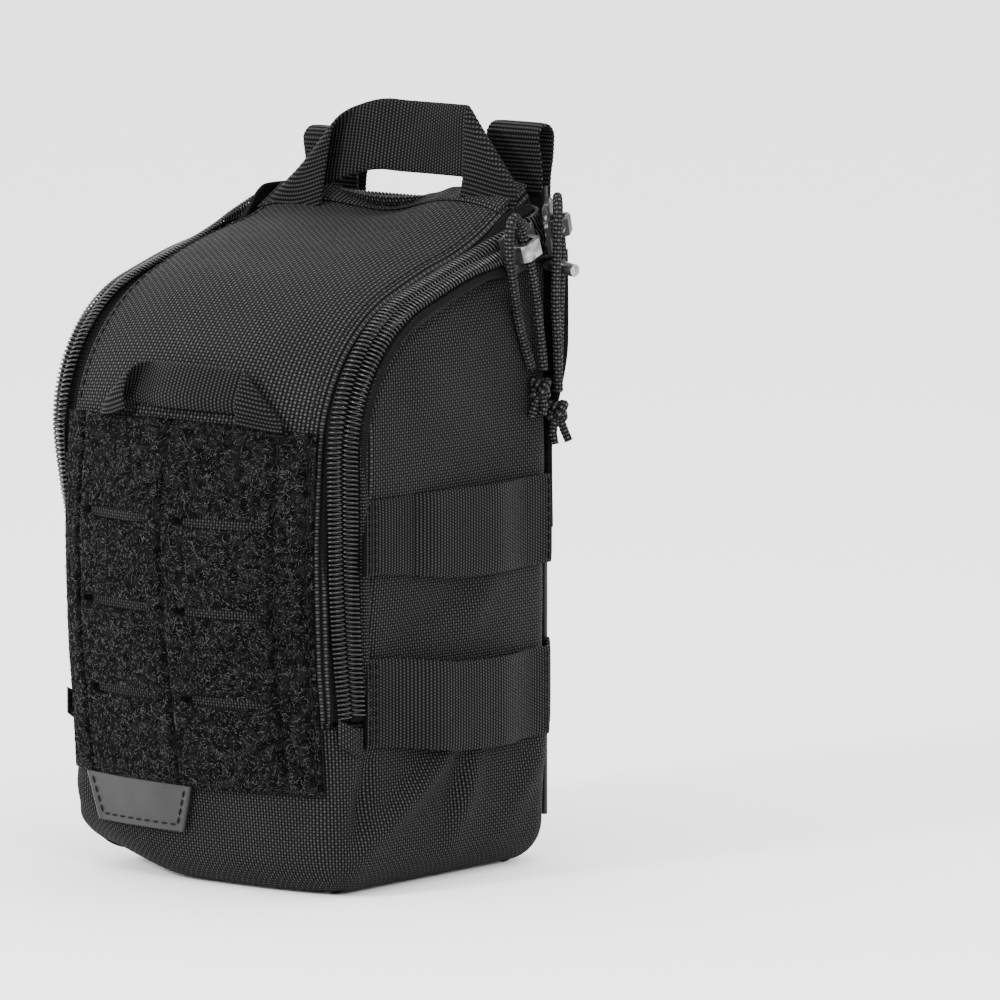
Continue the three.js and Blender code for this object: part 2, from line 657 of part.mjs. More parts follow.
const pullPoint = ( x, s, proud ) => lidPoint( x, s, proud ).toArray();
const PULL_FOOT = PANEL_TOP + GAP;
const frontPull = [
	[ pullPoint( 27.5, PULL_FOOT, 2 ), [ 1, 0, 0 ] ],
	[ pullPoint( 27.5, PULL_FOOT + 1.5, 2.6 ), [ 1, 0, 0.05 ] ],
	[ pullPoint( 27.2, PULL_FOOT + 3.6, 4.2 ), [ 1, 0, 0.3 ] ],
	[ pullPoint( 25.6, PULL_FOOT + 6, 6.6 ), [ 0.8, - 0.1, 0.8 ] ],
	[ pullPoint( 22, PULL_FOOT + 7.6, 8.4 ), [ 0.4, - 0.1, 1 ] ],
	[ pullPoint( 15, PULL_FOOT + 8.2, 9.2 ), [ 0.1, 0.1, 1 ] ],
	[ pullPoint( 7, PULL_FOOT + 8.4, 9.6 ), [ 0, 0.15, 1 ] ],
	[ pullPoint( 0, PULL_FOOT + 8.4, 9.7 ), [ 0, 0.15, 1 ] ]
];
const pullGroup = new THREE.Group();
lid.add( pullGroup );
add( 'front_pull', gripStrap( frontPull, PULL_WIDE ), webbing, pullGroup );

// ---------------------------------------------------------------- sliders, tab and cords

const SLIDER_HALF = 7.5;
const SLIDER_LID = COIL_TOP + 0.5; // underside of the slider's upper plate
const SLIDER_PLATE = 1.3;
const BRIDGE_TOP = 10;
const TUNNEL = [ SLIDER_LID + SLIDER_PLATE, 8.6 ];

// Built with the chain along x, the chain's width along y and outwards along z.
// Its lid side is open, so that the lid's half of the chain can swing out from under it.
function sliderShape( flange ) {

	const wide = flange + 1.1;
	const outline = [ [ - SLIDER_HALF, - wide + 0.8 ], [ 3.5, - wide ], [ SLIDER_HALF, - wide + 2.2 ],
		[ SLIDER_HALF, wide - 2.2 ], [ 3.5, wide ], [ - SLIDER_HALF, wide - 0.8 ] ];
	const top = solid( plate( outline, SLIDER_PLATE ).translate( 0, 0, SLIDER_LID ) );
	const wall = solid( box( - 6.5, 3.5, - wide + 0.4, - flange, TAPE + 0.3, SLIDER_LID + 0.6 ) );
	const arch = [ [ - 5, SLIDER_LID + 0.6 ], [ 5, SLIDER_LID + 0.6 ], [ 4.2, BRIDGE_TOP - 1.2 ], [ 2.8, BRIDGE_TOP ], [ - 2.8, BRIDGE_TOP ], [ - 4.2, BRIDGE_TOP - 1.2 ] ];
	const bridge = solid( plate( arch, 5 ).rotateX( Math.PI / 2 ).translate( 0, 2.5, 0 ) );
	const tunnel = solid( box( - 2.4, 2.4, - 6, 6, TUNNEL[ 0 ], TUNNEL[ 1 ] ) );
	return geometryFrom( top.add( wall ).add( bridge ).subtract( tunnel ) );

}

function placed( geometry, station ) {

	const basis = new THREE.Matrix4().makeBasis( station.t, station.w, station.n );
	return geometry.applyMatrix4( basis.setPosition( station.p ) );

}

const tube = ( points, diameter, segments ) => new THREE.ExtrudeGeometry(
	new THREE.Shape( steps( 0, 315, 7 ).map( a =>
		new THREE.Vector2( Math.cos( a * RAD ), Math.sin( a * RAD ) ).multiplyScalar( diameter / 2 ) ) ),
	{ extrudePath: new THREE.CatmullRomCurve3( points.map( q => V( ...q ) ) ), steps: segments, bevelEnabled: false } );

const ball = ( x, y, z, radius, tall ) => new THREE.SphereGeometry( radius, 14, 9 )
	.rotateX( Math.PI / 2 ).scale( 1, 1, tall ).translate( x, y, z );

// The side slider stops with its rear end where the straight slope of the chain ends.
const slopeEnd = sideChain[ sideChain.length - 2 ];
const sideSlider = new THREE.Group();
pouch.add( sideSlider );
const sliderAt = { ...slopeEnd, p: slopeEnd.p.clone().addScaledVector( slopeEnd.t, - SLIDER_HALF - 0.5 ) };
add( 'slider_side', placed( sliderShape( COIL_REACH + 0.6 ), sliderAt ), steel, sideSlider );
add( 'slider_rear', placed( sliderShape( COIL_REACH + 1.6 ), cornerChain[ 1 ] ), steel );

const CORD = 2.8;
const sideCord = [
	[ 55.4, 38.6, 142.4 ], [ 55.4, 37, 152 ], [ 56, 34.6, 162 ], [ 57, 31.2, 171 ],
	[ 57.1, 29.5, 175.3 ], [ 57.1, 27.8, 180 ], [ 57.1, 26, 184.6 ], [ 57.4, 23, 187.2 ], [ 57.8, 20.4, 184.6 ],
	[ 57.6, 20.4, 178 ], [ 56.9, 22.6, 169.5 ], [ 54.6, 28.6, 156 ], [ 53.8, 35, 143 ]
];
add( 'cord_side', tube( sideCord, CORD, 44 ), cordNylon, sideSlider );
add( 'knot_side', ball( 54.8, 37.6, 137.2, 3.8, 1.2 ), cordNylon, sideSlider );

const rearCord = [
	[ 54.7, 45.2, 135.4 ], [ 54.5, 46.4, 144 ], [ 54.5, 46.8, 155 ], [ 54.7, 47, 167 ], [ 55, 47.2, 175.4 ],
	[ 54.9, 46.8, 180.2 ], [ 54.8, 45.8, 185 ], [ 55.4, 44.6, 189.6 ], [ 57.6, 42, 191.6 ], [ 59.8, 39.7, 188.2 ],
	[ 60, 38.9, 180 ], [ 59.7, 38.8, 171 ], [ 59.3, 39, 162 ], [ 58.2, 41.2, 150 ], [ 56.6, 43.8, 136 ]
];
add( 'cord_rear', tube( rearCord, CORD, 44 ), cordNylon );
add( 'knot_rear', ball( 55.4, 44.6, 130.2, 3.8, 1.2 ), cordNylon );

// The pull tab is a plain rod that stands out from the rear slider's lower edge.
const TAB_RADIUS = 1.9;
const TAB_LENGTH = 11.4;
const tab = new THREE.LatheGeometry( [ [ 0, 0 ], [ TAB_RADIUS - 0.3, 0 ], [ TAB_RADIUS, 0.3 ], [ TAB_RADIUS, TAB_LENGTH - 0.8 ],
	[ TAB_RADIUS - 0.8, TAB_LENGTH ], [ 0, TAB_LENGTH ] ].map( q => new THREE.Vector2( ...q ) ), 14 );
const tabGroup = new THREE.Group();
pouch.add( tabGroup );
tab.rotateX( Math.PI / 2 ).rotateY( 98 * RAD );
add( 'tab_rear', tab, steel, tabGroup );
tabGroup.position.set( 53, 42.6, 172.4 );

export default pouch;
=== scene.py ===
"""Looks of the clamshell first-aid pouch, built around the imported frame.

Shapes are worked out in millimetres in the part's own frame and turned into metres when a mesh is made.
"""

import math
import random

import bmesh
import bpy
import numpy as np
from mathutils import Matrix, Vector, noise


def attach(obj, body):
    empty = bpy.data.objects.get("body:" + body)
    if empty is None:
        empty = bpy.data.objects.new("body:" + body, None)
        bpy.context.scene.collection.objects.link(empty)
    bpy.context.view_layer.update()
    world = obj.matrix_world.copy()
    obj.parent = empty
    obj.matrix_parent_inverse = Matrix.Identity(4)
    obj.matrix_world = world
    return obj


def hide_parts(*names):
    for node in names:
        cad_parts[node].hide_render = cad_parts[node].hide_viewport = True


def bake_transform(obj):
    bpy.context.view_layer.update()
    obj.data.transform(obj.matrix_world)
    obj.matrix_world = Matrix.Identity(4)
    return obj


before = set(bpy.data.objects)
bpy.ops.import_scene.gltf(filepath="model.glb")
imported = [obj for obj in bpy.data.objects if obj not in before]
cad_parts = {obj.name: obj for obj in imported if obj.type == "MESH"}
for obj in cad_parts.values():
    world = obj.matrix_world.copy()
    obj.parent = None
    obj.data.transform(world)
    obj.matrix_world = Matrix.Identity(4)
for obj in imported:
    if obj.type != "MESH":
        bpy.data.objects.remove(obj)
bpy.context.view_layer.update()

MM = 0.001
RAD = math.pi / 180

# Driving dimensions, as in the part
HALF_WIDTH = 51
FRONT = -50
BACK = 49
CORNER = 9
FOLD_Z = 50
SHOULDER_Z = 124.5
SLOPE = 20 * RAD
TAPE_X = 50.2
BAND = 9
CHAIN_RADIUS = 40
CHAIN_Y = FRONT + BAND
SLOPE_LENGTH = 54
CREST_RADIUS = 16
CREST_TURN = 8 * RAD
REAR_TILT = 75 * RAD
REAR_BAND = 7
TURN_LENGTH = 15
REAR_RADIUS = 3.134
WIDE = 25.4
NARROW = 19
PULL_WIDE = 13
QUARTER = 90 * RAD
SHOULDER = QUARTER - SLOPE
LID_RADIUS = CHAIN_RADIUS + BAND
ARCH_Y = FRONT + LID_RADIUS * (1 - math.sin(SLOPE))


def mm(x, y, z):
    return Vector((x, y, z))


def smoothstep(value, low, high):
    t = min(1, max(0, (value - low) / (high - low)))
    return t * t * (3 - 2 * t)


def spread(start, end, count):
    return [start + (end - start) * i / count for i in range(count + 1)]


def flow(value, rows):
    """A smooth curve through a few set rows (place, value), level outside them."""
    if value <= rows[0][0]:
        return rows[0][1]
    if value >= rows[-1][0]:
        return rows[-1][1]
    i = next(k for k in range(len(rows) - 1) if value < rows[k + 1][0])
    (x0, y0), (x1, y1) = rows[i], rows[i + 1]
    before, after = rows[max(i - 1, 0)], rows[min(i + 2, len(rows) - 1)]
    m0 = (y1 - before[1]) / (x1 - before[0]) if i else 0
    m1 = (after[1] - y0) / (after[0] - x0) if i + 2 < len(rows) else 0
    t, span = (value - x0) / (x1 - x0), x1 - x0
    return (y0 * (1 + 2 * t) * (1 - t) ** 2 + m0 * span * t * (1 - t) ** 2
            + y1 * t * t * (3 - 2 * t) + m1 * span * t * t * (t - 1))


# ------------------------------------------------------------------ camera, light and floor


def make_camera():
    azimuth, elevation = 39 * RAD, 7.5 * RAD
    right = Vector((math.cos(azimuth), math.sin(azimuth), 0))
    level = Vector((-math.sin(azimuth), math.cos(azimuth), 0))
    ahead = level * math.cos(elevation) - Vector((0, 0, math.sin(elevation)))
    up = right.cross(ahead)
    distance = 3.0
    data = bpy.data.cameras.new("camera")
    data.sensor_width = 36
    data.lens = 378
    camera = bpy.data.objects.new("camera", data)
    bpy.context.scene.collection.objects.link(camera)
    camera.matrix_world = Matrix((right, up, -ahead)).transposed().to_4x4()
    camera.location = right * 0.0549 + up * 0.1037 - ahead * distance
    bpy.context.scene.camera = camera


def area_light(name, place, aim, size, power):
    data = bpy.data.lights.new(name, "AREA")
    data.shape = "DISK"
    data.size = size
    data.energy = power
    light = bpy.data.objects.new(name, data)
    bpy.context.scene.collection.objects.link(light)
    light.location = place
    light.rotation_euler = (Vector(aim) - Vector(place)).to_track_quat("-Z", "Y").to_euler()


def make_studio():
    area_light("key", (-0.3, -1.45, 0.85), (0, 0, 0.1), 0.3, 34)
    area_light("side", (1.3, -0.7, 0.7), (0.03, 0, 0.1), 0.3, 15)
    area_light("top", (0.1, 0.3, 1.5), (0, 0, 0.12), 0.5, 4)
    world = bpy.data.worlds.new("studio")
    world.use_nodes = True
    background = world.node_tree.nodes["Background"]
    background.inputs["Color"].default_value = (1, 1, 1, 1)
    background.inputs["Strength"].default_value = 2.9
    bpy.context.scene.world = world
    bpy.ops.mesh.primitive_plane_add(size=30, location=(0, 0, -0.0002))
    floor = bpy.context.object
    floor.name = "floor"
    pale = bpy.data.materials.new("floor_pale")
    pale.use_nodes = True
    shader = pale.node_tree.nodes["Principled BSDF"]
    shader.inputs["Base Color"].default_value = (0.9, 0.9, 0.9, 1)
    shader.inputs["Roughness"].default_value = 0.9
    shader.inputs["Specular IOR Level"].default_value = 0.1
    floor.data.materials.append(pale)


# ------------------------------------------------------------------ materials


class Look:
    """A material's node tree, with short calls for the nodes that the looks here share."""

    def __init__(self, name, color, roughness, metallic=0.0, specular=0.5, sheen=0.0):
        self.material = bpy.data.materials.new(name)
        self.material.use_nodes = True
        self.nodes = self.material.node_tree.nodes
        self.links = self.material.node_tree.links
        self.shader = self.nodes["Principled BSDF"]
        self.put("Base Color", (*color, 1))
        self.put("Roughness", roughness)
        self.put("Metallic", metallic)
        self.put("Specular IOR Level", specular)
        self.put("Sheen Weight", sheen)
        self.put("Sheen Roughness", 0.4)

    def put(self, socket, value):
        self.shader.inputs[socket].default_value = value

    def cloth_uv(self):
        pin = self.nodes.new("ShaderNodeUVMap")
        pin.uv_map = "cloth"
        split = self.nodes.new("ShaderNodeSeparateXYZ")
        self.links.new(pin.outputs["UV"], split.inputs[0])
        return split.outputs["X"], split.outputs["Y"]

    def object_point(self):
        return self.nodes.new("ShaderNodeTexCoord").outputs["Object"]

    def math(self, operation, a, b=0.0):
        node = self.nodes.new("ShaderNodeMath")
        node.operation = operation
        for socket, value in zip(node.inputs, (a, b)):
            if isinstance(value, (int, float)):
                socket.default_value = value
            else:
                self.links.new(value, socket)
        return node.outputs[0]

    def times(self, a, b):
        return self.math("MULTIPLY", a, b)

    def plus(self, a, b):
        return self.math("ADD", a, b)

    def swing(self, place, pitch):
        """Up for one pitch, down for the next, -1 to 1."""
        return self.math("SINE", self.times(place, math.pi / pitch))

    def hump(self, place, pitch):
        """From 0 up to 1 and back within each pitch."""
        return self.math("ABSOLUTE", self.swing(place, pitch))

    def noise(self, scale, detail):
        node = self.nodes.new("ShaderNodeTexNoise")
        node.inputs["Scale"].default_value = scale
        node.inputs["Detail"].default_value = detail
        self.links.new(self.object_point(), node.inputs["Vector"])
        return node.outputs["Fac"]

    def ramp(self, value, stops):
        node = self.nodes.new("ShaderNodeValToRGB")
        self.links.new(value, node.inputs["Fac"])
        elements = node.color_ramp.elements
        while len(elements) < len(stops):
            elements.new(0.5)
        for element, (place, color) in zip(elements, stops):
            element.position = place
            element.color = (*color, 1)
        return node.outputs["Color"]

    def span(self, value, low, high):
        node = self.nodes.new("ShaderNodeMapRange")
        self.links.new(value, node.inputs["Value"])
        node.inputs["To Min"].default_value = low
        node.inputs["To Max"].default_value = high
        return node.outputs["Result"]

    def bump(self, height, distance):
        node = self.nodes.new("ShaderNodeBump")
        node.inputs["Distance"].default_value = distance * MM
        node.inputs["Strength"].default_value = 1.0
        self.links.new(height, node.inputs["Height"])
        self.links.new(node.outputs["Normal"], self.shader.inputs["Normal"])

    def set(self, socket, output):
        self.links.new(output, self.shader.inputs[socket])

    def color(self, value, low, dark, high, light):
        """Dark up to the low value, light from the high one."""
        self.set("Base Color", self.ramp(value, [(low, dark), (high, light)]))


def grey(level, blue=0.0):
    return level, level, level + blue


RIB = 1.2
YARN = 0.9


def weave(look, u, v, pitch_u, pitch_v):
    """Height, 0 to 1, of a plain weave: warp and weft yarns pass over each other in turn."""
    swing_u, swing_v = look.swing(u, pitch_u), look.swing(v, pitch_v)
    hump_u, hump_v = look.math("ABSOLUTE", swing_u), look.math("ABSOLUTE", swing_v)
    warp = look.times(hump_u, look.math("POWER", hump_v, 0.4))
    weft = look.times(hump_v, look.math("POWER", hump_u, 0.4))
    over = look.math("GREATER_THAN", look.times(swing_u, swing_v), 0.0)
    under = look.times(look.times(weft, look.math("SUBTRACT", 1.0, over)), 0.62)
    return look.plus(look.times(warp, over), under)


def cloth_look(name, pitch_u, pitch_v, dark, light, roughness, depth, specular=0.06, ribbed=1.0):
    """Woven cloth; ribbed says how dark the grooves between the warp yarns are. Its colour follows the
    weave's height: painted shade down between the yarns, painted highlights on their tops.
    """
    look = Look(name, light, roughness, specular=specular)
    u, v = look.cloth_uv()
    groove = look.span(look.hump(u, pitch_u), 1.0 - ribbed, 1.0)
    height = look.times(weave(look, u, v, pitch_u, pitch_v), groove)
    # painted shade in the low parts of the weave and painted highlights on the yarn tops, from the weave's
    # height
    painted_shading = look.times(look.math("POWER", height, 1.4), look.span(look.noise(38, 4), 0.7, 1.3))
    painted_shading = look.times(painted_shading, look.span(look.noise(1400, 2), 0.6, 1.4))
    look.color(painted_shading, 0.1, dark, 0.8, light)
    look.set("Roughness", look.span(height, roughness + 0.25, roughness))
    look.bump(look.plus(height, look.times(look.noise(900, 2), 0.35)), depth)
    return look.material


def webbing_look():
    """Two yarns stand side by side on each rib, staggered rib by rib; the ribs are in the mesh. The colour
    follows the yarns' height: painted shade between the yarns and in the rib grooves, painted highlights on
    the yarn tops.
    """
    light = grey(0.024, 0.0005)
    look = Look("webbing", light, 0.5, specular=0.08)
    u, v = look.cloth_uv()
    row = look.math("FLOOR", look.math("DIVIDE", u, RIB))
    yarn = look.hump(look.plus(v, look.times(row, YARN / 2)), YARN)
    height = look.times(look.span(yarn, 0.3, 1.0), look.math("POWER", look.hump(u, RIB), 1.6))
    # painted shade between the yarns and ribs and painted highlights on the yarn tops, from their height
    painted_shading = look.times(look.math("POWER", height, 2.0), look.span(look.noise(60, 3), 0.5, 1.4))
    look.color(painted_shading, 0.1, tuple(0.015 * c for c in light), 0.85, light)
    look.set("Roughness", look.span(height, 0.9, 0.42))
    look.bump(look.plus(height, look.times(look.noise(1500, 2), 0.25)), 0.34)
    return look.material


def pile_look():
    look = Look("loop_pile", grey(0.006), 0.9, specular=0.03)
    mixed = look.plus(look.times(look.noise(2400, 4), 0.6), look.times(look.noise(420, 3), 0.4))
    look.color(mixed, 0.45, grey(0.0003), 0.68, grey(0.014))
    look.bump(mixed, 1.6)
    return look.material


def fibre_look():
    look = Look("pile_fibre", grey(0.05), 0.45)
    look.color(look.noise(300, 3), 0.35, grey(0.012), 0.7, grey(0.06))
    return look.material


def rubber_look():
    look = Look("patch_rubber", grey(0.012, 0.001), 0.5, specular=0.3)
    look.set("Roughness", look.span(look.noise(120, 4), 0.42, 0.62))
    look.color(look.noise(90, 5), 0.3, grey(0.008, 0.0005), 0.8, grey(0.015, 0.0005))
    look.bump(look.noise(2600, 3), 0.05)
    return look.material


def coil_look():
    look = Look("zip_coil", grey(0.002, 0.0002), 0.2, specular=0.3)
    look.set("Roughness", look.span(look.noise(400, 3), 0.16, 0.36))
    look.bump(look.noise(2400, 2), 0.03)
    return look.material


def laminate_look():
    look = Look("laminate", grey(0.006, 0.001), 0.5, specular=0.2)
    u, v = look.cloth_uv()
    look.set("Roughness", look.span(look.noise(70, 4), 0.34, 0.56))
    look.color(look.noise(45, 4), 0.25, grey(0.004, 0.0005), 0.8, grey(0.009, 0.0005))
    look.bump(weave(look, u, v, 0.6, 0.6), 0.05)
    return look.material


def metal_look():
    look = Look("slider_metal", grey(0.2, 0.01), 0.32, metallic=1.0)
    look.color(look.noise(420, 5), 0.35, grey(0.1, 0.005), 0.62, grey(0.3, 0.01))
    look.set("Roughness", look.span(look.noise(900, 3), 0.24, 0.44))
    look.bump(look.noise(1600, 3), 0.03)
    return look.material


def dark_metal_look():
    """Black paint, worn through to metal in a few places."""
    look = Look("slider_paint", grey(0.01), 0.5, specular=0.15)
    worn = look.noise(700, 5)
    look.color(worn, 0.6, grey(0.008, 0.0005), 0.66, grey(0.2))
    look.set("Metallic", look.span(look.math("GREATER_THAN", worn, 0.63), 0.0, 1.0))
    look.bump(look.noise(1600, 3), 0.03)
    return look.material


def plain_cloth_look():
    """For pieces with no cloth map: a fine even texture of threads in space."""
    light = grey(0.016, 0.001)
    look = Look("cad_lining", light, 0.8, specular=0.2, sheen=0.01)
    split = look.nodes.new("ShaderNodeSeparateXYZ")
    look.links.new(look.object_point(), split.inputs[0])
    x, y, z = (look.math("SINE", look.times(split.outputs[axis], 9000)) for axis in "XYZ")
    look.color(look.noise(60, 4), 0.3, tuple(0.5 * c for c in light), 0.8, light)
    look.bump(look.plus(look.times(x, z), look.times(y, z)), 0.08)
    return look.material


LOOKS = {
    "shell": cloth_look("shell_cloth", 0.95, 0.85, grey(0.0006), grey(0.036, 0.0005), 0.6, 0.4, ribbed=0.8),
    "lid": cloth_look("lid_cloth", 1.2, 0.95, grey(0.0008), grey(0.041, 0.0005), 0.6, 0.45, ribbed=0.6),
    "tape": cloth_look("zip_tape", 0.5, 0.55, grey(0.001), grey(0.012), 0.75, 0.12),
    "lining": cloth_look("lining_cloth", 0.4, 0.4, grey(0.008, 0.001), (0.05, 0.051, 0.054), 0.6, 0.08),
    "webbing": webbing_look(),
    "mesh": cloth_look("slot_mesh", 0.9, 0.9, grey(0.0006), grey(0.03, 0.0005), 0.5, 0.3),
    "thread": cloth_look("thread", 0.3, 0.3, grey(0.002), grey(0.022), 0.5, 0.05),
    "cord": cloth_look("cord_nylon", 1.1, 1.1, grey(0.0006), grey(0.05, 0.0005), 0.5, 0.3, 0.1),
    "pile": pile_look(),
    "fibre": fibre_look(),
    "rubber": rubber_look(),
    "coil": coil_look(),
    "laminate": laminate_look(),
    "metal": metal_look(),
    "dark_metal": dark_metal_look(),
    "plain": plain_cloth_look(),
}

# ------------------------------------------------------------------ meshes


def make_object(name, points, faces, look, uvs=None, smooth=True):
    """points in millimetres; uvs one pair in millimetres per point."""
    mesh = bpy.data.meshes.new(name)
    mesh.from_pydata([tuple(c * MM for c in p) for p in points], [], faces)
    if uvs is not None:
        layer = mesh.uv_layers.new(name="cloth")
        pairs = np.array([uvs[loop.vertex_index] for loop in mesh.loops], np.float32)
        layer.data.foreach_set("uv", pairs.ravel())
    mesh.materials.append(LOOKS[look])
    mesh.polygons.foreach_set("use_smooth", [smooth] * len(mesh.polygons))
    mesh.validate()
    thing = bpy.data.objects.new(name, mesh)
    bpy.context.scene.collection.objects.link(thing)
    return thing


def outward(thing):
    """Makes a closed mesh's faces point out."""
    edit = bmesh.new()
    edit.from_mesh(thing.data)
    bmesh.ops.recalc_face_normals(edit, faces=edit.faces)
    edit.to_mesh(thing.data)
    edit.free()
    return thing


def sheet_faces(n, m):
    """Faces of a closed sheet whose points are n rows of m outside, then as many inside."""
    faces, inner = [], n * m
    for a in range(0, inner - m, m):
        b = a + m
        for j in range(m - 1):
            faces.append((a + j, b + j, b + j + 1, a + j + 1))
            faces.append((inner + a + j, inner + a + j + 1, inner + b + j + 1, inner + b + j))
        faces.append((a, inner + a, inner + b, b))
        faces.append((b - 1, b + m - 1, inner + b + m - 1, inner + b - 1))
    for j in range(m - 1):
        k = inner - m + j
        faces.append((j, j + 1, inner + j + 1, inner + j))
        faces.append((k, inner + k, inner + k + 1, k + 1))
    return faces


def slab(name, us, vs, point, look, uv=lambda u, v: (u, v)):
    """A closed slab: point(u, v, k) is outside for k = 0 and inside for k = 1."""
    points = [point(u, v, k) for k in (0, 1) for u in us for v in vs]
    pairs = [uv(u, v) for u in us for v in vs] * 2
    return outward(make_object(name, points, sheet_faces(len(us), len(vs)), look, pairs))


def plate(name, outline, shares, point, look):
    """A closed plate: point(p, share, k) for the outline's points, drawn in toward the middle by shares."""
    points = [point(p, share, k) for k in (0, 1) for share in shares for p in outline]
    count, inner = len(outline), len(shares) * len(outline)
    faces = []
    for j in range(count):
        m = (j + 1) % count
        faces.append((j, j + inner, m + inner, m))
        for ring in range(0, inner - count, count):
            a, b, c, d = ring + j, ring + m, ring + count + m, ring + count + j
            faces.append((a, b, c, d))
            faces.append((a + inner, d + inner, c + inner, b + inner))
    faces.append(tuple(range(inner - count, inner)))
    faces.append(tuple(reversed(range(2 * inner - count, 2 * inner))))
    return outward(make_object(name, points, faces, look, [(p.x + 90, p.y + 90) for p in points]))


def tube(name, points, radius, look, sides=6, relief=lambda length, angle: 0):
    """A closed tube through the points, without twist; relief adds to its radius."""
    points = [Vector(p) for p in points]
    rings, pairs, length = [], [], 0
    side = (points[1] - points[0]).orthogonal().normalized()
    for i, p in enumerate(points):
        ahead = (points[min(i + 1, len(points) - 1)] - points[max(i - 1, 0)]).normalized()
        side = (side - ahead * side.dot(ahead)).normalized()
        across = ahead.cross(side)
        length += (p - points[i - 1]).length if i else 0
        for k in range(sides):
            angle = 2 * math.pi * k / sides
            out = side * math.cos(angle) + across * math.sin(angle)
            rings.append(p + out * (radius + relief(length, angle)))
            pairs.append((length, radius * angle))
    faces = []
    for a in range(0, len(rings) - sides, sides):
        for k in range(sides):
            m = (k + 1) % sides
            faces.append((a + k, a + m, a + sides + m, a + sides + k))
    faces.append(tuple(reversed(range(sides))))
    faces.append(tuple(range(len(rings) - sides, len(rings))))
    return make_object(name, rings, faces, look, pairs)


def join(name, things):
    bpy.ops.object.select_all(action="DESELECT")
    for thing in things:
        thing.select_set(True)
    bpy.context.view_layer.objects.active = things[0]
    bpy.ops.object.join()
    things[0].name = name
    return things[0]


def place(thing, body, slot, *nodes):
    """The piece rides on the body and stands for the CAD nodes, which are hidden; the slot is not used."""
    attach(thing, body)
    if nodes:
        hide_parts(*nodes)
    return thing


def catmull(points, step):
    """Points every step along a smooth curve through the given ones, with their real-valued indices."""
    points = [Vector(p) for p in points]
    dense, marks = [], []
    for i in range(len(points) - 1):
        p0, p1 = points[max(i - 1, 0)], points[i]
        p2, p3 = points[i + 1], points[min(i + 2, len(points) - 1)]
        for j in range(24):
            t = j / 24
            dense.append(0.5 * (2 * p1 + (p2 - p0) * t + (2 * p0 - 5 * p1 + 4 * p2 - p3) * t * t
                                + (3 * p1 - p0 - 3 * p2 + p3) * t * t * t))
            marks.append(i + t)
    dense.append(points[-1])
    marks.append(len(points) - 1)
    lengths = [0]
    for a, b in zip(dense, dense[1:]):
        lengths.append(lengths[-1] + (b - a).length)
    count = max(2, round(lengths[-1] / step))
    wanted = np.linspace(0, lengths[-1], count + 1)
    columns = [np.interp(wanted, lengths, [p[axis] for p in dense]) for axis in range(3)]
    return [Vector(p) for p in zip(*columns)], list(np.interp(wanted, lengths, marks))


# ------------------------------------------------------------------ webbing, stitches and cords

def ribbon(name, stations, width, thickness):
    """Webbing through stations (point, width direction), with cross ribs and softly rounded edges."""
    centre, marks = catmull([s[0] for s in stations], 0.3)
    widths = [Vector(s[1]).normalized() for s in stations]
    across = [-1, -0.97, -0.9, -0.7, -0.45, -0.2, 0, 0.2, 0.45, 0.7, 0.9, 0.97, 1]
    top, low, pairs, length = [], [], [], 0
    for i, p in enumerate(centre):
        ahead = (centre[min(i + 1, len(centre) - 1)] - centre[max(i - 1, 0)]).normalized()
        k = min(int(marks[i]), len(widths) - 2)
        w = widths[k].lerp(widths[k + 1], smoothstep(marks[i], k, k + 1))
        n = ahead.cross(w).normalized()
        w = n.cross(ahead)
        length += (p - centre[i - 1]).length if i else 0
        groove = 1 - abs(math.sin(math.pi * length / RIB))
        for a in across:
            edge = math.sqrt(max(0, 1 - abs(a) ** 6))
            up = thickness / 2 * (0.35 + 0.65 * edge) - 0.11 * groove
            out = a * (width / 2 - (0.16 * groove if abs(a) > 0.95 else 0))
            top.append(p + w * out + n * up)
            low.append(p + w * out - n * up)
            pairs.append((length, a * width / 2 + 40))
    return outward(make_object(name, top + low, sheet_faces(len(centre), len(across)), "webbing", pairs * 2))


def strap(name, length, width, thickness, spot):
    """Webbing whose flat cloth (along, across) is laid by spot(); its ribs follow it through folds."""
    along = spread(0, length, round(length / 0.3))
    across = [-width / 2, -width / 2 + 0.25]
    across += spread(-width / 2 + 0.8, width / 2 - 0.8, round(width / 0.75))
    across += [width / 2 - 0.25, width / 2]
    grid = np.array([[spot(s, a) for a in across] for s in along])
    normal = np.cross(np.gradient(grid, axis=0), np.gradient(grid, axis=1))
    normal /= np.linalg.norm(normal, axis=2, keepdims=True)
    groove = 1 - np.abs(np.sin(np.pi * np.array(along) / RIB))[:, None]
    edge = np.sqrt(np.clip(1 - np.abs(2 * np.array(across) / width) ** 8, 0, 1))[None, :]
    lift = (thickness / 2 * (0.35 + 0.65 * edge) - 0.13 * groove)[..., None]
    points = np.concatenate([(grid + normal * lift).reshape(-1, 3), (grid - normal * lift).reshape(-1, 3)])
    pairs = [(s, a + 40) for s in along for a in across] * 2
    return outward(make_object(name, points, sheet_faces(len(along), len(across)), "webbing", pairs))


def folded(x, z, corner_x, corner_z, radius):
    """A flat strip turned over along the diagonal from (corner_x, corner_z): new x, z and depth."""
    past = (x - corner_x + z - corner_z) / math.sqrt(2)
    half = radius * QUARTER
    if past < -half:
        kept, depth = past + half - radius, radius
    elif past > half:
        kept, depth = half - past - radius, -radius
    else:
        kept, depth = radius * (math.cos(past / radius) - 1), -radius * math.sin(past / radius)
    move = (kept - past) / math.sqrt(2)
    return x + move, z + move, depth


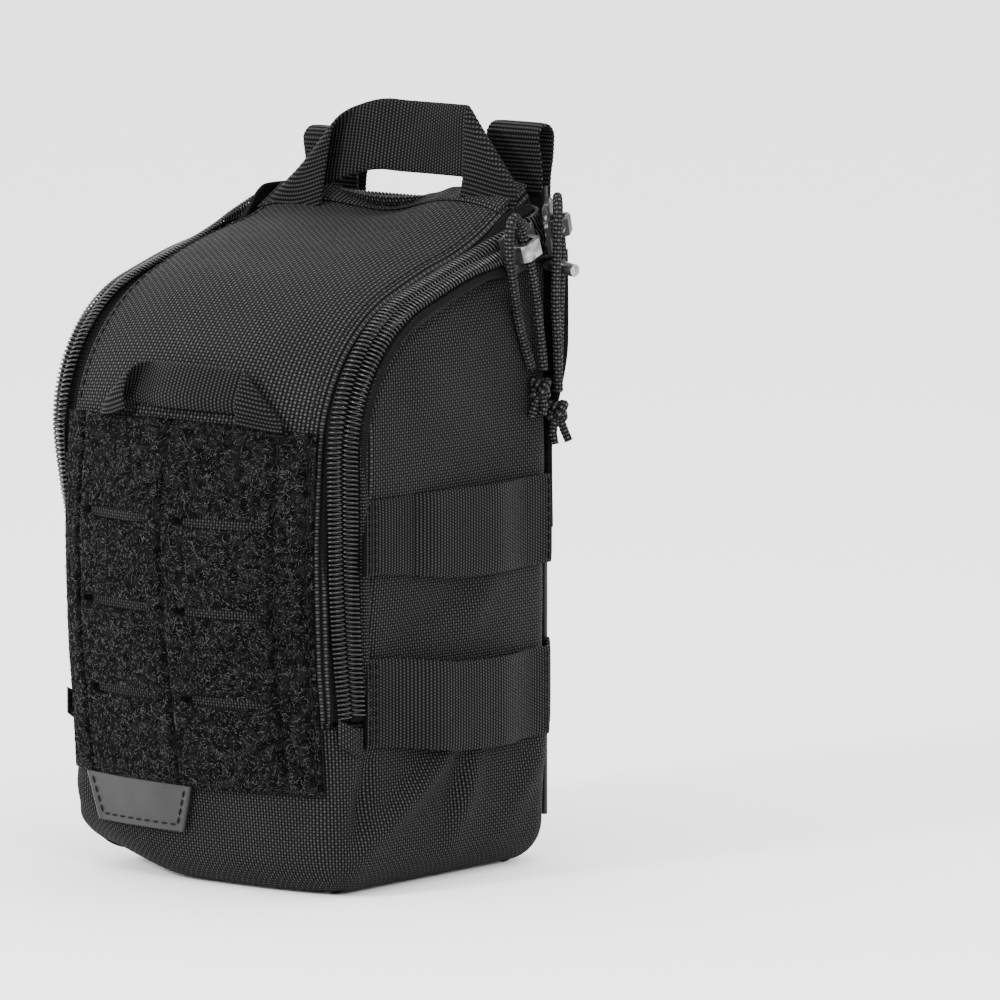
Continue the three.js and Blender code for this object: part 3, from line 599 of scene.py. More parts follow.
def stitches(name, runs, length=2.3, gap=0.9, radius=0.26):
    """Sewing thread: each run is a list of (point, normal); short arched stitches lie along it."""
    points, faces, pairs = [], [], []
    steps, sides = 4, 5
    for run in runs:
        marks = [0]
        for (a, _), (b, _) in zip(run, run[1:]):
            marks.append(marks[-1] + (Vector(b) - Vector(a)).length)
        count = max(1, round(marks[-1] / (length + gap)))
        pitch = marks[-1] / count
        table = np.array([[*p, *n] for p, n in run])

        def at(s):
            row = [np.interp(s, marks, table[:, c]) for c in range(6)]
            return Vector(row[:3]), Vector(row[3:]).normalized()

        for i in range(count):
            start = (i + 0.5) * pitch - length / 2
            base = len(points)
            for t in spread(0, 1, steps):
                p, n = at(start + length * t)
                ahead = (at(start + length * t + 0.2)[0] - at(start + length * t - 0.2)[0]).normalized()
                side = n.cross(ahead)
                arch = math.sin(math.pi * t)
                lift = radius * (1.5 * arch - 0.4)
                slim = radius * (0.55 + 0.45 * arch)
                for k in range(sides):
                    angle = 2 * math.pi * k / sides
                    points.append(p + n * (lift + slim * math.sin(angle)) + side * slim * math.cos(angle))
                    pairs.append((length * t, k * 0.3))
            for a in range(base, base + steps * sides, sides):
                for k in range(sides):
                    m = (k + 1) % sides
                    faces.append((a + k, a + m, a + sides + m, a + sides + k))
            faces.append(tuple(base + k for k in reversed(range(sides))))
            faces.append(tuple(base + steps * sides + k for k in range(sides)))
    return outward(make_object(name, points, faces, "thread", pairs))


# ------------------------------------------------------------------ the lid's surface


def route(y, z, heading, runs, spacing):
    """Straight and turning runs (length, clockwise turn) in the side plane: rows y, z, heading, length."""
    rows = [(y, z, heading, 0.0)]
    for length, turn in runs:
        count = max(2, round(length / spacing))
        for _ in range(count):
            y, z, heading, s = rows[-1]
            step, bend = length / count, turn / count
            chord = step * math.sin(bend / 2) / (bend / 2) if bend else step
            middle = heading - bend / 2
            y, z = y + chord * math.cos(middle), z + chord * math.sin(middle)
            rows.append((y, z, heading - bend, s + step))
    return np.array(rows)


REAR_TURN = SLOPE + REAR_TILT
REAR_END_Y = 45.74
SLOPE_RUN = REAR_END_Y - REAR_RADIUS * (math.sin(SLOPE) + math.sin(REAR_TILT)) - ARCH_Y
LID_ROWS = route(FRONT, FOLD_Z, QUARTER, [
    (SHOULDER_Z - FOLD_Z, 0),
    (LID_RADIUS * SHOULDER, SHOULDER),
    (SLOPE_RUN / math.cos(SLOPE), 0),
    (REAR_RADIUS * REAR_TURN, REAR_TURN),
], 0.7)
LID_LENGTH = LID_ROWS[-1, 3]
REAR_START = LID_LENGTH - REAR_RADIUS * REAR_TURN
HALF_LID = 46.6
# by length from the fold: how far the lid's side edges lie back, and how far its middle stands out
LID_EDGE = [
    (-50, -5), (-22, -4), (2, -2.3), (16, -1), (47, 0), (60, -0.5), (75, -1.5),
    (95, -2.2), (120, -3.1), (150, -3.2), (165, -4.2), (178, -4.5), (190, -3), (203, -1),
]
LID_CROWN = [
    (-50, 5), (-22, 7), (2, 9.4), (45, 12), (72, 10.8), (95, 8.5), (120, 6), (150, 5),
    (175, 3.2), (190, 1.2), (203, 0.3),
]


def rear_sag(x):
    """How far the lid's rear edge hangs down between the feet of the handle."""
    return 5.4 * math.exp(-((x + 3) / 18) ** 2)


def bulge(x, s):
    """How far the filled front stands out: its side edges lie back, its middle is crowned."""
    power = 2.2 + 1.8 * smoothstep(s, 90, 150)
    lean = 2.6 * x / HALF_LID * smoothstep(s, 160, 192)
    lean -= rear_sag(x) * smoothstep(s, 174, 196)
    return flow(s, LID_EDGE) + flow(s, LID_CROWN) * (1 - min(1, abs(x) / HALF_LID) ** power) + lean


def lid_at(s):
    if s < 0:
        return FRONT, FOLD_Z + s, QUARTER
    return tuple(np.interp(s, LID_ROWS[:, 3], LID_ROWS[:, c]) for c in range(3))


def lid_point(x, s, proud=0.0):
    y, z, heading = lid_at(s)
    out = proud + bulge(x, s)
    return mm(x, y - math.sin(heading) * out, z + math.cos(heading) * out)


def lid_normal(s):
    heading = lid_at(s)[2]
    return mm(0, -math.sin(heading), math.cos(heading))


def lid_half_width(s):
    along = max(0, (s - REAR_START) / (LID_LENGTH - REAR_START))
    return 40.6 + (HALF_LID + 0.3 - 40.6) * math.cos(along * QUARTER)


def lid_cloth_point(x_share, s, depth):
    """The lid's cloth: pillowed, a little uneven, and turned in at its side edges."""
    half = lid_half_width(s)
    edge = 1 - abs(x_share)
    turn = 2.4 * (1 - smoothstep(edge * half, 0, 3.2)) ** 2
    uneven = 0.55 * noise.noise(Vector((x_share * 2.3, s / 34, 1.7))) * smoothstep(edge, 0, 0.25)
    return lid_point(x_share * half, s, uneven - turn - depth)


def lid_rows(start, end, step):
    count = max(2, round((end - start) / step))
    rows = spread(start, end, count)
    if end >= LID_LENGTH - 0.01:
        rows = [s for s in rows if s < REAR_START] + spread(REAR_START, LID_LENGTH, 12)
    return rows


def edge_shares(half):
    """Across a panel: fine near the turned edges, coarser in the middle."""
    near = [0, 0.6, 1.2, 1.8, 2.4, 3.2, 4.2, 6]
    shares = [1 - d / half for d in near]
    middle = spread(-shares[-1], shares[-1], 44)
    return [-s for s in shares[:-1]] + middle + list(reversed(shares[:-1]))


def make_lid_cloth():
    us = edge_shares(HALF_LID)
    vs = lid_rows(0.15, LID_LENGTH, 1.4)
    thing = slab("lid_cloth", us, vs, lambda u, s, k: lid_cloth_point(u, s, k * 1.1), "lid",
                 uv=lambda u, s: (u * HALF_LID + 60, s))
    place(thing, "lid", "shell_cloth", "lid_outer")


# ------------------------------------------------------------------ the zipper


# by length from the zipper's foot: the chain's tilt in degrees, and how far it is moved out and up
CHAIN_TILT = [
    (0, 20), (16, 25), (48, 42), (60, 50), (80, 63), (100, 70), (125, 72), (148, 70),
    (160, 50), (168, 30), (180, 18), (196, 0),
]
CHAIN_OUT = [
    (0, -1), (16, -1.6), (34, -1.6), (48, -0.9), (60, 0.2), (78, 1.3), (110, 1.6),
    (140, 1), (165, 0.2), (180, 0),
]
CHAIN_LIFT = [
    (0, -0.4), (20, 0.6), (48, 2.4), (60, 3.6), (76, 4.5), (110, 4), (140, 2.7), (162, 0.7), (180, 0),
]
CHAIN_STEP = 0.8
TURN_STEPS = 24


def settled(p, t, w, n, mark):
    """A station moved and turned as the filled pouch pushes it: the chain faces up along the top."""
    angle = flow(mark, CHAIN_TILT) * RAD
    cos, sin = math.cos(angle), math.sin(angle)
    p = p + mm(flow(mark, CHAIN_OUT), 0, 0) + w * flow(mark, CHAIN_LIFT)
    return p, t, w * cos - n * sin, n * cos + w * sin, mark


def chain_stations():
    """The chain's middle, right foot to left foot: point, along, across, out, length from the near foot."""
    rows = route(CHAIN_Y, FOLD_Z, QUARTER, [
        (SHOULDER_Z - FOLD_Z, 0),
        (CHAIN_RADIUS * SHOULDER, SHOULDER),
        (SLOPE_LENGTH, 0),
        (CREST_RADIUS * CREST_TURN, CREST_TURN),
    ], CHAIN_STEP)
    half = []
    for y, z, heading, mark in rows:
        t, w = mm(0, math.cos(heading), math.sin(heading)), mm(0, -math.sin(heading), math.cos(heading))
        half.append((mm(TAPE_X, y, z), t, w, mm(1, 0, 0), mark))
    p, t, w, n, mark = half[-1]
    rear_t, rear_w = mm(-1, 0, 0), mm(0, -math.cos(REAR_TILT), math.sin(REAR_TILT))
    rear_n = rear_t.cross(rear_w)
    first = Matrix((t, w, n)).transposed().to_quaternion()
    last = Matrix((rear_t, rear_w, rear_n)).transposed().to_quaternion()
    step = TURN_LENGTH / TURN_STEPS
    for i in range(1, TURN_STEPS + 1):
        p = p + first.slerp(last, (i - 0.5) / TURN_STEPS) @ mm(1, 0, 0) * step
        turned = first.slerp(last, i / TURN_STEPS)
        mark += step
        half.append((p, turned @ mm(1, 0, 0), turned @ mm(0, 1, 0), turned @ mm(0, 0, 1), mark))
    for share in spread(0, 1, round(p.x / CHAIN_STEP))[1:]:
        mark += CHAIN_STEP
        half.append((mm(p.x * (1 - share), p.y, p.z), rear_t, rear_w, rear_n, mark))
    half = [settled(*station) for station in half]
    flip = [(mm(-p.x, p.y, p.z), mm(t.x, -t.y, -t.z), mm(-w.x, w.y, w.z), mm(-n.x, n.y, n.z), mark)
            for p, t, w, n, mark in reversed(half[:-1])]
    return half + flip


CHAIN = chain_stations()
CHAIN_MARKS = [0.0]
for near_station, far_station in zip(CHAIN, CHAIN[1:]):
    CHAIN_MARKS.append(CHAIN_MARKS[-1] + (far_station[0] - near_station[0]).length)
CHAIN_TABLE = np.array([[*p, *t, *w, *n, mark] for p, t, w, n, mark in CHAIN])
CHAIN_LENGTH = CHAIN_MARKS[-1]
COIL_PITCH = 1.32
COIL_STEPS = 10


def chain_at(s):
    """Point, along, across and out at a length of the chain."""
    row = [np.interp(s, CHAIN_MARKS, CHAIN_TABLE[:, c]) for c in range(12)]
    return Vector(row[:3]), Vector(row[3:6]), Vector(row[6:9]), Vector(row[9:])


def route_mark(s):
    """The place along the side's route, from the foot, at a length of the chain."""
    return float(np.interp(s, CHAIN_MARKS, CHAIN_TABLE[:, 12]))


ARC_START = SHOULDER_Z - FOLD_Z
ARC_LENGTH = CHAIN_RADIUS * SHOULDER


def lid_mark(mark):
    """The lid's length beside a place of the side's route."""
    if mark < ARC_START:
        return mark
    if mark < ARC_START + ARC_LENGTH:
        return ARC_START + (mark - ARC_START) * LID_RADIUS / CHAIN_RADIUS
    return mark + ARC_LENGTH * (LID_RADIUS / CHAIN_RADIUS - 1)


def make_coil(name, side, body, node):
    """One half of the chain: a flattened helix whose heads reach past the middle, between the other's."""
    points = []
    turns = int((CHAIN_LENGTH - 3) / COIL_PITCH)
    offset = 1.5 + (COIL_PITCH / 2 if side < 0 else 0)
    for i in range(turns * COIL_STEPS):
        angle = 2 * math.pi * i / COIL_STEPS
        p, _, w, n = chain_at(offset + COIL_PITCH * i / COIL_STEPS)
        reach = 2.15 + 2.25 * math.cos(angle)
        points.append(p + w * side * reach + n * (1.5 + 0.95 * math.sin(angle)))
    place(tube(name, points, 0.36, "coil", 5), body, "zip_coil", node)


def make_tape(name, side, body, node):
    """The tape beside the coil; the lid's half reaches under the lid's edge and sags with it at the rear."""
    hold_from, hold_to = 160, 182

    def point(s, share, k):
        p, _, w, n = chain_at(s)
        mark = route_mark(s)
        rear = smoothstep(abs(s - CHAIN_LENGTH / 2), 60, 42)
        reach = (BAND - 0.6) * (1 - rear) + (REAR_BAND - 0.3) * rear
        hem = None
        if side > 0 and mark < hold_to:
            along = lid_mark(mark)
            hem = lid_point(math.copysign(lid_half_width(along) - 1.3, p.x), along, -2.1)
            hold = 1 - smoothstep(mark, hold_from, hold_to)
            reach = reach * (1 - hold) + (hem - p).length * hold
        elif side < 0:
            reach = 6.6 + 1.8 * smoothstep(mark, 150, hold_to) - 1.7 * rear
        across = 0.35 + (reach - 0.35) * share
        lip = 0.5 * math.exp(-((across - 5.2) / 0.6) ** 2)
        q = p + w * side * across + n * (0.25 + lip - 0.7 * k)
        if hem:
            return q + (hem - p - w * side * reach) * hold * share ** 1.6
        if side > 0:
            return q - mm(0, 0.5, 0.9) * rear_sag(p.x) * rear * share
        return q

    rows = spread(0.3, CHAIN_LENGTH - 0.3, 330)
    shares = [0, 0.1, 0.3, 0.45, 0.55, 0.62, 0.7, 0.8, 0.9, 1]
    thing = slab(name, rows, shares, point, "tape", uv=lambda s, share: (s, share * BAND))
    place(thing, body, "zip_tape", node)


def make_zipper():
    for make, kind in ((make_coil, "coil"), (make_tape, "tape")):
        for label, side, body in (("body", -1, "pouch"), ("lid", 1, "lid")):
            make(f"{kind}_{label}", side, body, f"zip_{kind}_{label}")


# ------------------------------------------------------------------ the body's cloth

ARC = 14
FLAT_FRONT = 42
SIDE_START_Y = -37
CORNER_END = FLAT_FRONT + ARC
REAR_CORNER = CORNER_END + BACK - CORNER - SIDE_START_Y
REAR_ARC = CORNER * QUARTER
GIRTH = REAR_CORNER + REAR_ARC
BASE_ROUND = 12
UPPER_START = FLAT_FRONT + 0.76 * ARC
TUCK_RADIUS = 40.5
REAR_TOP = 176
# where the side panel's sewn edge runs: by length from the foot, its distance in from the arc's middle
SIDE_EDGE = [
    (0, 32), (16, 32.6), (48, 35), (60, 36.6), (76, 38.4), (110, 38.2), (140, 37.4), (160, 35), (178, 32.5),
]
CREASES = [
    # start and end (girth, height), how proud, how wide
    ((52, 8), (94, 40), 4.2, 4.4),
    ((53, 12), (59, 38), -3.0, 3.2),
    ((96, 8), (105, 36), 2.6, 4.0),
    ((86, 6), (98, 34), -1.6, 4.0),
    ((116, 8), (140, 40), 1.8, 5.0),
    ((70, 70), (98, 84), -1.6, 5.0),
    ((100, 72), (112, 84), 1.4, 5.0),
    ((72, 128), (120, 118), -1.6, 8.0),
    ((80, 140), (110, 160), 0.8, 6.0),
    ((30, 6), (50, 22), 1.4, 5.0),
]


def plan(girth, z):
    """The body's outline at a height: point and outward direction, by length from the front's middle."""
    side = 1 if girth >= 0 else -1
    g, s = abs(girth), z - FOLD_Z
    if g < FLAT_FRONT:
        x, y = g, FRONT + 0.25 - bulge(side * g, s)
        nx, ny = (bulge(side * (g - 0.5), s) - bulge(side * (g + 0.5), s)) if g > 0.5 else 0, -1
    elif g < CORNER_END:
        t = (g - FLAT_FRONT) / ARC
        edge_y = FRONT + 0.25 - bulge(FLAT_FRONT, s)
        slant = bulge(FLAT_FRONT - 1, s) - bulge(FLAT_FRONT, s)
        start = mm(FLAT_FRONT, edge_y, 0)
        control = mm(FLAT_FRONT + 8.4, edge_y + 8.4 * slant, 0)
        end = mm(HALF_WIDTH, SIDE_START_Y, 0)
        x, y, _ = start * (1 - t) ** 2 + control * 2 * t * (1 - t) + end * t * t
        ahead = (control - start) * (1 - t) + (end - control) * t
        nx, ny = ahead.y, -ahead.x
    elif g < REAR_CORNER:
        x, y, nx, ny = HALF_WIDTH, SIDE_START_Y + g - CORNER_END, 1, 0
    else:
        a = (g - REAR_CORNER) / CORNER
        nx, ny = math.cos(a), math.sin(a)
        x, y = HALF_WIDTH - CORNER + CORNER * nx, BACK - CORNER + CORNER * ny
    size = math.hypot(nx, ny)
    return side * x, y, side * nx / size, ny / size


def panel_top(girth):
    """Height where the side panel ends, tucked under the zipper."""
    y = plan(girth, FOLD_Z)[1]
    arc_end = -1 - TUCK_RADIUS * math.sin(SLOPE)
    if y < arc_end:
        return SHOULDER_Z + math.sqrt(max(0, TUCK_RADIUS ** 2 - (y + 1) ** 2))
    slope_z = SHOULDER_Z + TUCK_RADIUS * math.cos(SLOPE) + (y - arc_end) * math.tan(SLOPE)
    return min(slope_z, REAR_TOP)


def edge_distance(y, z):
    """How far a point of the side panel is inside its sewn edge; negative where it is tucked under."""
    if z < FOLD_Z - 0.5:
        return 20.0
    if z < SHOULDER_Z:
        return flow(z - FOLD_Z, SIDE_EDGE) + min(y + 1, 0)
    along = (y + 1) * math.cos(SLOPE) + (z - SHOULDER_Z) * math.sin(SLOPE)
    if along < 0:
        angle = math.atan2(z - SHOULDER_Z, -(y + 1))
        return flow(ARC_START + CHAIN_RADIUS * angle, SIDE_EDGE) - math.hypot(y + 1, z - SHOULDER_Z)
    off = (z - SHOULDER_Z) * math.cos(SLOPE) - (y + 1) * math.sin(SLOPE)
    return flow(ARC_START + ARC_LENGTH + along, SIDE_EDGE) - off


def side_swell(y, z):
    """How far the filled side stands out, most beside the upper part of the zipper."""
    front = 1 - smoothstep(y, -20, 40)
    return smoothstep(z, 58, 118) * (0.8 + 3.2 * front) * (1 - 0.6 * smoothstep(z, 160, 182))


def crease(girth, z):
    total = 0
    for (g0, z0), (g1, z1), proud, wide in CREASES:
        along, up = g1 - g0, z1 - z0
        t = ((abs(girth) - g0) * along + (z - z0) * up) / (along ** 2 + up ** 2)
        near = min(1, max(0, t))
        away = math.hypot(abs(girth) - g0 - near * along, z - z0 - near * up)
        total += proud * math.exp(-(away / wide) ** 2) * (0.6 + 0.4 * math.sin(math.pi * near))
    return total


def lifted(x, y):
    """The soft front corners of the base don't reach the ground."""
    left = 6.5 * smoothstep(-x, 8, 48) * smoothstep(-y, 8, 46)
    return left + 0.8 * smoothstep(x, 30, 50) * smoothstep(-y, 30, 46)


def base_draw(z):
    """How far the cloth is drawn in below the height where the base's round edge starts."""
    return BASE_ROUND * (1 - math.sqrt(1 - max(0.0, 1 - z / BASE_ROUND) ** 2))


def body_point(girth, z, depth=0.0):
    x, y, nx, ny = plan(girth, z)
    full = smoothstep(z, 2, 30)
    side = max(0, abs(nx) - 0.3) / 0.7
    pillow = side * 1.3 * math.sin(math.pi * min(1, max(0, (y + 42) / 84))) * full
    uneven = 0.6 * noise.noise(Vector((x / 30, y / 30, z / 30)))
    near = edge_distance(y, z)
    seam = -0.9 * math.exp(-(near / 1.3) ** 2) - 7 * smoothstep(-near, 0, 4.5)
    out = (pillow + crease(girth, z) * full) * smoothstep(near, 0, 12) + uneven * full - base_draw(z) - depth
    out += side * (side_swell(y, z) + seam)
    up = lifted(x, y) * (1 - smoothstep(z, 0, 32)) - 0.2 * depth * max(0.0, 1 - z / BASE_ROUND)
    return mm(x + nx * out, y + ny * out, max(z + up, 0.0))


def foot_rows():
    return [BASE_ROUND * (1 - math.cos(a)) for a in spread(0.06, QUARTER, 9)]


def body_rows():
    return foot_rows() + spread(BASE_ROUND, FOLD_Z - 0.35, 26)[1:]


def body_columns(start, end):
    return spread(start, end, max(2, round((end - start) / 1.8)))


def all_columns():
    columns = body_columns(-GIRTH, -UPPER_START) + body_columns(-UPPER_START, UPPER_START)[1:]
    return columns + body_columns(UPPER_START, GIRTH)[1:]


def body_sheets(name, rows, shares, short, depth, low_thick, thick, look):
    """Cloth all round up to the fold, and the two side panels that go on up from there."""
    def height(g, share):
        return rows[-1] + (panel_top(g) - short - rows[-1]) * share

    def upper_point(g, share, k):
        return body_point(g, height(g, share), depth + thick * k)

    parts = [slab(name, all_columns(), rows, lambda g, z, k: body_point(g, z, depth + low_thick * k), look,
                  uv=lambda g, z: (g + 200, z))]
    for side in (1, -1):
        columns = [side * g for g in body_columns(UPPER_START, GIRTH)]
        parts.append(slab("upper", columns, shares, upper_point, look,
                          uv=lambda g, share: (g + 200, height(g, share))))
    return join(name, parts)


def make_body_cloth():
    rows = body_rows()
    shares = spread(0, 0.9, 60) + spread(0.9, 1, 14)[1:]
    thing = body_sheets("pouch_cloth", rows, shares, 0, 0, 1.0, 1.1, "shell")
    near = 2e-5
    edit = bmesh.new()
    edit.from_mesh(thing.data)
    seam = [v for v in edit.verts if abs(v.co.z - rows[-1] * MM) < near]
    bmesh.ops.remove_doubles(edit, verts=seam, dist=near)
    inner = [f for f in edit.faces if all(abs(v.co.z - rows[-1] * MM) < near for v in f.verts)
             and all(len(e.link_faces) > 2 for e in f.edges)]
    bmesh.ops.delete(edit, geom=inner, context="FACES_ONLY")
    edit.to_mesh(thing.data)
    edit.free()
    place(thing, "pouch", "shell_cloth", "side_right_outer", "side_left_outer", "front_lower_outer")


def make_base_cloth():
    middle = mm(0, -1, 0)

    def point(p, share, k):
        flat = middle + (mm(p.x, p.y, 0) - middle) * share
        return mm(flat.x, flat.y, 0.05 + p.z * share ** 2 + k * 1.2)

    outline = [body_point(g, body_rows()[0]) for g in body_columns(-GIRTH, GIRTH)]
    thing = plate("base_cloth", outline, spread(1, 0.04, 16), point, "shell")
    place(thing, "pouch", "shell_cloth", "bottom_outer")


def make_bottom_board():
    def point(p, share, k):
        return mm(p.x * share, p.y * share, 1.5 + lifted(p.x, p.y) * share ** 2 + 1.4 * k)

    outline = [body_point(g, 2, 3.0) for g in body_columns(-GIRTH, GIRTH)]
    thing = plate("base_board", outline, spread(1, 0.05, 8), point, "lining")
    place(thing, "pouch", "board", "bottom_board")


def make_back_cloth():
    half = HALF_WIDTH - CORNER

    def point(x, z, k):
        soft = 0.5 * noise.noise(Vector((x / 24, 7.1, z / 24))) - 0.4
        return mm(x, BACK + soft * smoothstep(half - abs(x), 0, 5) - base_draw(z) - 1.1 * k, z)

    rows = foot_rows() + spread(BASE_ROUND, REAR_TOP, 80)[1:]
    thing = slab("back_cloth", spread(-half, half, 44), rows, point, "shell", uv=lambda x, z: (x + 90, z))
    place(thing, "pouch", "shell_cloth", "back_outer")
    corners = []
    for side in (1, -1):
        path = [mm(side * half, BACK + 0.2, z) for z in spread(14, REAR_TOP - 1, 60)]
        corners.append(tube("welt", path, 1.1, "tape", 8))
    place(join("back_welts", corners), "pouch", "shell_cloth")


def make_back_edge():
    """The rear wall's bound edge, standing out past the right side behind the cords."""
    def point(w, z, k):
        out = CORNER - 1 + 5.5 * smoothstep(z, 118, 150) * w
        return HALF_WIDTH - CORNER + out * w, BACK - 1.2 + 1.6 * k + 0.25 * math.sin(z * 0.09), z

    thing = slab("back_edge", spread(0, 1, 12), spread(96, REAR_TOP, 80), point, "tape",
                 uv=lambda w, z: (w * CORNER, z))
    place(thing, "pouch", "shell_cloth")


def make_linings():
    """The inner cloth of the body and the lid, and the padding and pocket inside the lid."""
    rows = [z for z in body_rows() if z > 3]
    lining = body_sheets("body_lining", rows, spread(0, 1, 60), 0.4, 1.5, 0.7, 0.7, "lining")
    place(lining, "pouch", "lining_cloth", "front_lower_lining", "side_right_lining", "side_left_lining")
    shares = [0.955 * u for u in edge_shares(HALF_LID)]
    padding = slab("lid_padding", shares, lid_rows(2.5, REAR_START - 2, 1.6),
                   lambda u, s, k: lid_cloth_point(u, s, 1.5 + 2.6 * k), "lining",
                   uv=lambda u, s: (u * HALF_LID + 60, s))
    place(padding, "lid", "foam", "lid_foam", "lid_lining")
    low, high = 8, 84

    def pocket_point(u, s, k):
        full = math.cos(u * 1.9) * math.sin((s - low) / (high - low) * math.pi)
        return lid_cloth_point(u, s, 4.4 + 1.6 * full + 0.7 * k)

    pocket = slab("lid_mesh_pocket", spread(-0.8, 0.8, 50), spread(low, high, 60), pocket_point, "lining",
                  uv=lambda u, s: (u * 50 + 60, s))
    place(pocket, "lid", "lining_cloth", "lid_pocket")


def make_side_rolls():
    """The turned edge of each side panel, sewn down beside the chain."""
    rows = [s for s in spread(0.6, CHAIN_LENGTH / 2, 300) if route_mark(s) < 168]
    parts = []
    for side in (1, -1):
        def point(s, a, k):
            p, _, w, n = chain_at(s)
            mark = route_mark(s)
            heading = max(SLOPE, QUARTER - max(0, mark - ARC_START) / CHAIN_RADIUS)
            radial = mm(0, -math.sin(heading), math.cos(heading))
            inward = flow(mark, SIDE_EDGE) - CHAIN_RADIUS - flow(mark, CHAIN_LIFT)
            base = p - mm(p.x, 0, 0) + radial * inward
            low = mm(HALF_WIDTH + side_swell(base.y, base.z) - 0.7, base.y, base.z)
            high = p - w * 4.7 + n * 0.5
            face = (n + mm(1, 0, 0)).normalized()
            wobble = 0.25 * math.sin(s * 0.21) + 0.12 * math.sin(s * 0.83)
            q = high.lerp(low, a) + face * ((1.7 + wobble) * math.sin(math.pi * a) ** 0.7 - 1.3 * k)
            return mm(side * q.x, q.y, q.z)

        parts.append(slab("roll", rows, spread(0, 1, 12), point, "shell", uv=lambda s, a: (s, a * 6)))
    place(join("side_rolls", parts), "pouch", "shell_cloth")


# ------------------------------------------------------------------ front panel and patch

PANEL_HALF = 45.6
PANEL_TOP = 82
PANEL_LOW = -20.5
PANEL_THICK = 2.4
SLOT_HEIGHTS = [4.8, 30.2, 55.6]
SLOT_INNER = 4.5
SLOT_OUTER = 32.5
PANEL_SEAMS = [0, 35.5, -35.5, 44.3, -44.3]


def slot_depth(x, s):
    """1 inside a slot, 0 on the pile; a slot is a slim lens that gapes a little at its middle."""
    for height in SLOT_HEIGHTS:
        share = (abs(x) - SLOT_INNER) / (SLOT_OUTER - SLOT_INNER)
        if 0 <= share <= 1:
            gape = 0.5 + 0.9 * math.sin(math.pi * share)
            away = abs(s - height)
            if away < gape + 0.5:
                return 1 - smoothstep(away, gape, gape + 0.5)
    return 0.0


def panel_point(x, s, proud):
    sag = 1.0 * noise.noise(Vector((x / 26, 3.3, s / 26)))
    return lid_point(x, s, 0.5 + proud + sag * smoothstep(PANEL_HALF - abs(x), -1, 10))


def pile_height(x, s):
    fuzz = 0.34 * noise.noise(Vector((x * 0.9, s * 0.9, 0)))
    fuzz += 0.24 * noise.noise(Vector((x * 2.1, s * 2.1, 9)))
    seam = max(math.exp(-((x - place_x) / 0.9) ** 2) for place_x in PANEL_SEAMS)
    border = min(PANEL_HALF - abs(x), s - PANEL_LOW, PANEL_TOP - s)
    rounded = 1 - 0.45 * math.exp(-border / 0.7)
    return (PANEL_THICK + fuzz - 1.8 * seam) * rounded * (1 - 0.86 * slot_depth(x, s))


def bend_at_fold(thing):
    """Bakes the piece's transform into its mesh; its shape follows the pouch below the fold and the lid
    above it, but it is attached to neither.
    """
    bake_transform(thing)


def make_loop_panel():
    xs = spread(-PANEL_HALF, PANEL_HALF, 150)
    rows = spread(PANEL_LOW, PANEL_TOP, 190)
    for height in SLOT_HEIGHTS:
        rows = [s for s in rows if abs(s - height) > 2]
        rows += [height + d for d in spread(-2, 2, 20)]
    rows.sort()

    def point(x, s, k):
        return panel_point(x, s, (1 - k) * pile_height(x, s))

    thing = slab("loop_panel", xs, rows, point, "pile")
    bend_at_fold(thing)
    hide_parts("loop_panel_lower", "loop_panel_upper")


def make_slot_cloth():
    """The lighter open cloth that shows inside each slot, short of the slot's left end."""
    def point(x, s, k):
        return panel_point(x, s, 1.25 - 0.5 * k)

    parts = []
    for height in SLOT_HEIGHTS:
        rows = spread(height - 1.6, height + 1.6, 8)
        for start in (-SLOT_OUTER + 3, SLOT_INNER + 3):
            end = -SLOT_INNER if start < 0 else SLOT_OUTER
            strip = slab("strip", spread(start, end, 40), rows, point, "mesh", uv=lambda x, s: (x + 60, s))
            parts.append(strip)
    place(join("slot_cloth", parts), "lid", "loop_pile")


FUZZ_LOOPS = 10000
FUZZ_RINGS = 4
FUZZ_SIDES = 3


def make_fuzz():
    """Loose loops of the pile that catch the light."""
    dice = random.Random(11)
    points, faces, pairs = [], [], []
    while len(points) < FUZZ_LOOPS * FUZZ_RINGS * FUZZ_SIDES:
        x, s = dice.uniform(-PANEL_HALF, PANEL_HALF), dice.uniform(PANEL_LOW, PANEL_TOP)
        if slot_depth(x, s) > 0.1:
            continue
        base = panel_point(x, s, pile_height(x, s) - 0.25)
        n = lid_normal(s)
        turn = dice.uniform(0, 2 * math.pi)
        flat = mm(1, 0, 0) * math.cos(turn) + n.cross(mm(1, 0, 0)) * math.sin(turn)
        side = n.cross(flat)
        span, rise, lean = dice.uniform(0.3, 0.75), dice.uniform(0.3, 0.6), dice.uniform(-0.4, 0.4)
        radius = dice.uniform(0.035, 0.055)
        start = len(points)
        for j in range(FUZZ_RINGS):
            a = math.pi * j / (FUZZ_RINGS - 1)
            centre = base - flat * span * math.cos(a) + (n * rise + side * lean) * math.sin(a)
            for k in range(FUZZ_SIDES):
                b = 2 * math.pi * k / FUZZ_SIDES
                points.append(centre + (side * math.cos(b) + n * math.sin(b)) * radius)
                pairs.append((j * 0.3, k * 0.1))
        last = start + (FUZZ_RINGS - 1) * FUZZ_SIDES
        for a in range(start, last, FUZZ_SIDES):
            for k in range(FUZZ_SIDES):
                m = (k + 1) % FUZZ_SIDES
                faces.append((a + k, a + m, a + FUZZ_SIDES + m, a + FUZZ_SIDES + k))
        faces.append(tuple(range(start, start + FUZZ_SIDES)))
        faces.append(tuple(reversed(range(last, last + FUZZ_SIDES))))
    bend_at_fold(outward(make_object("loop_fuzz", points, faces, "fibre", pairs)))


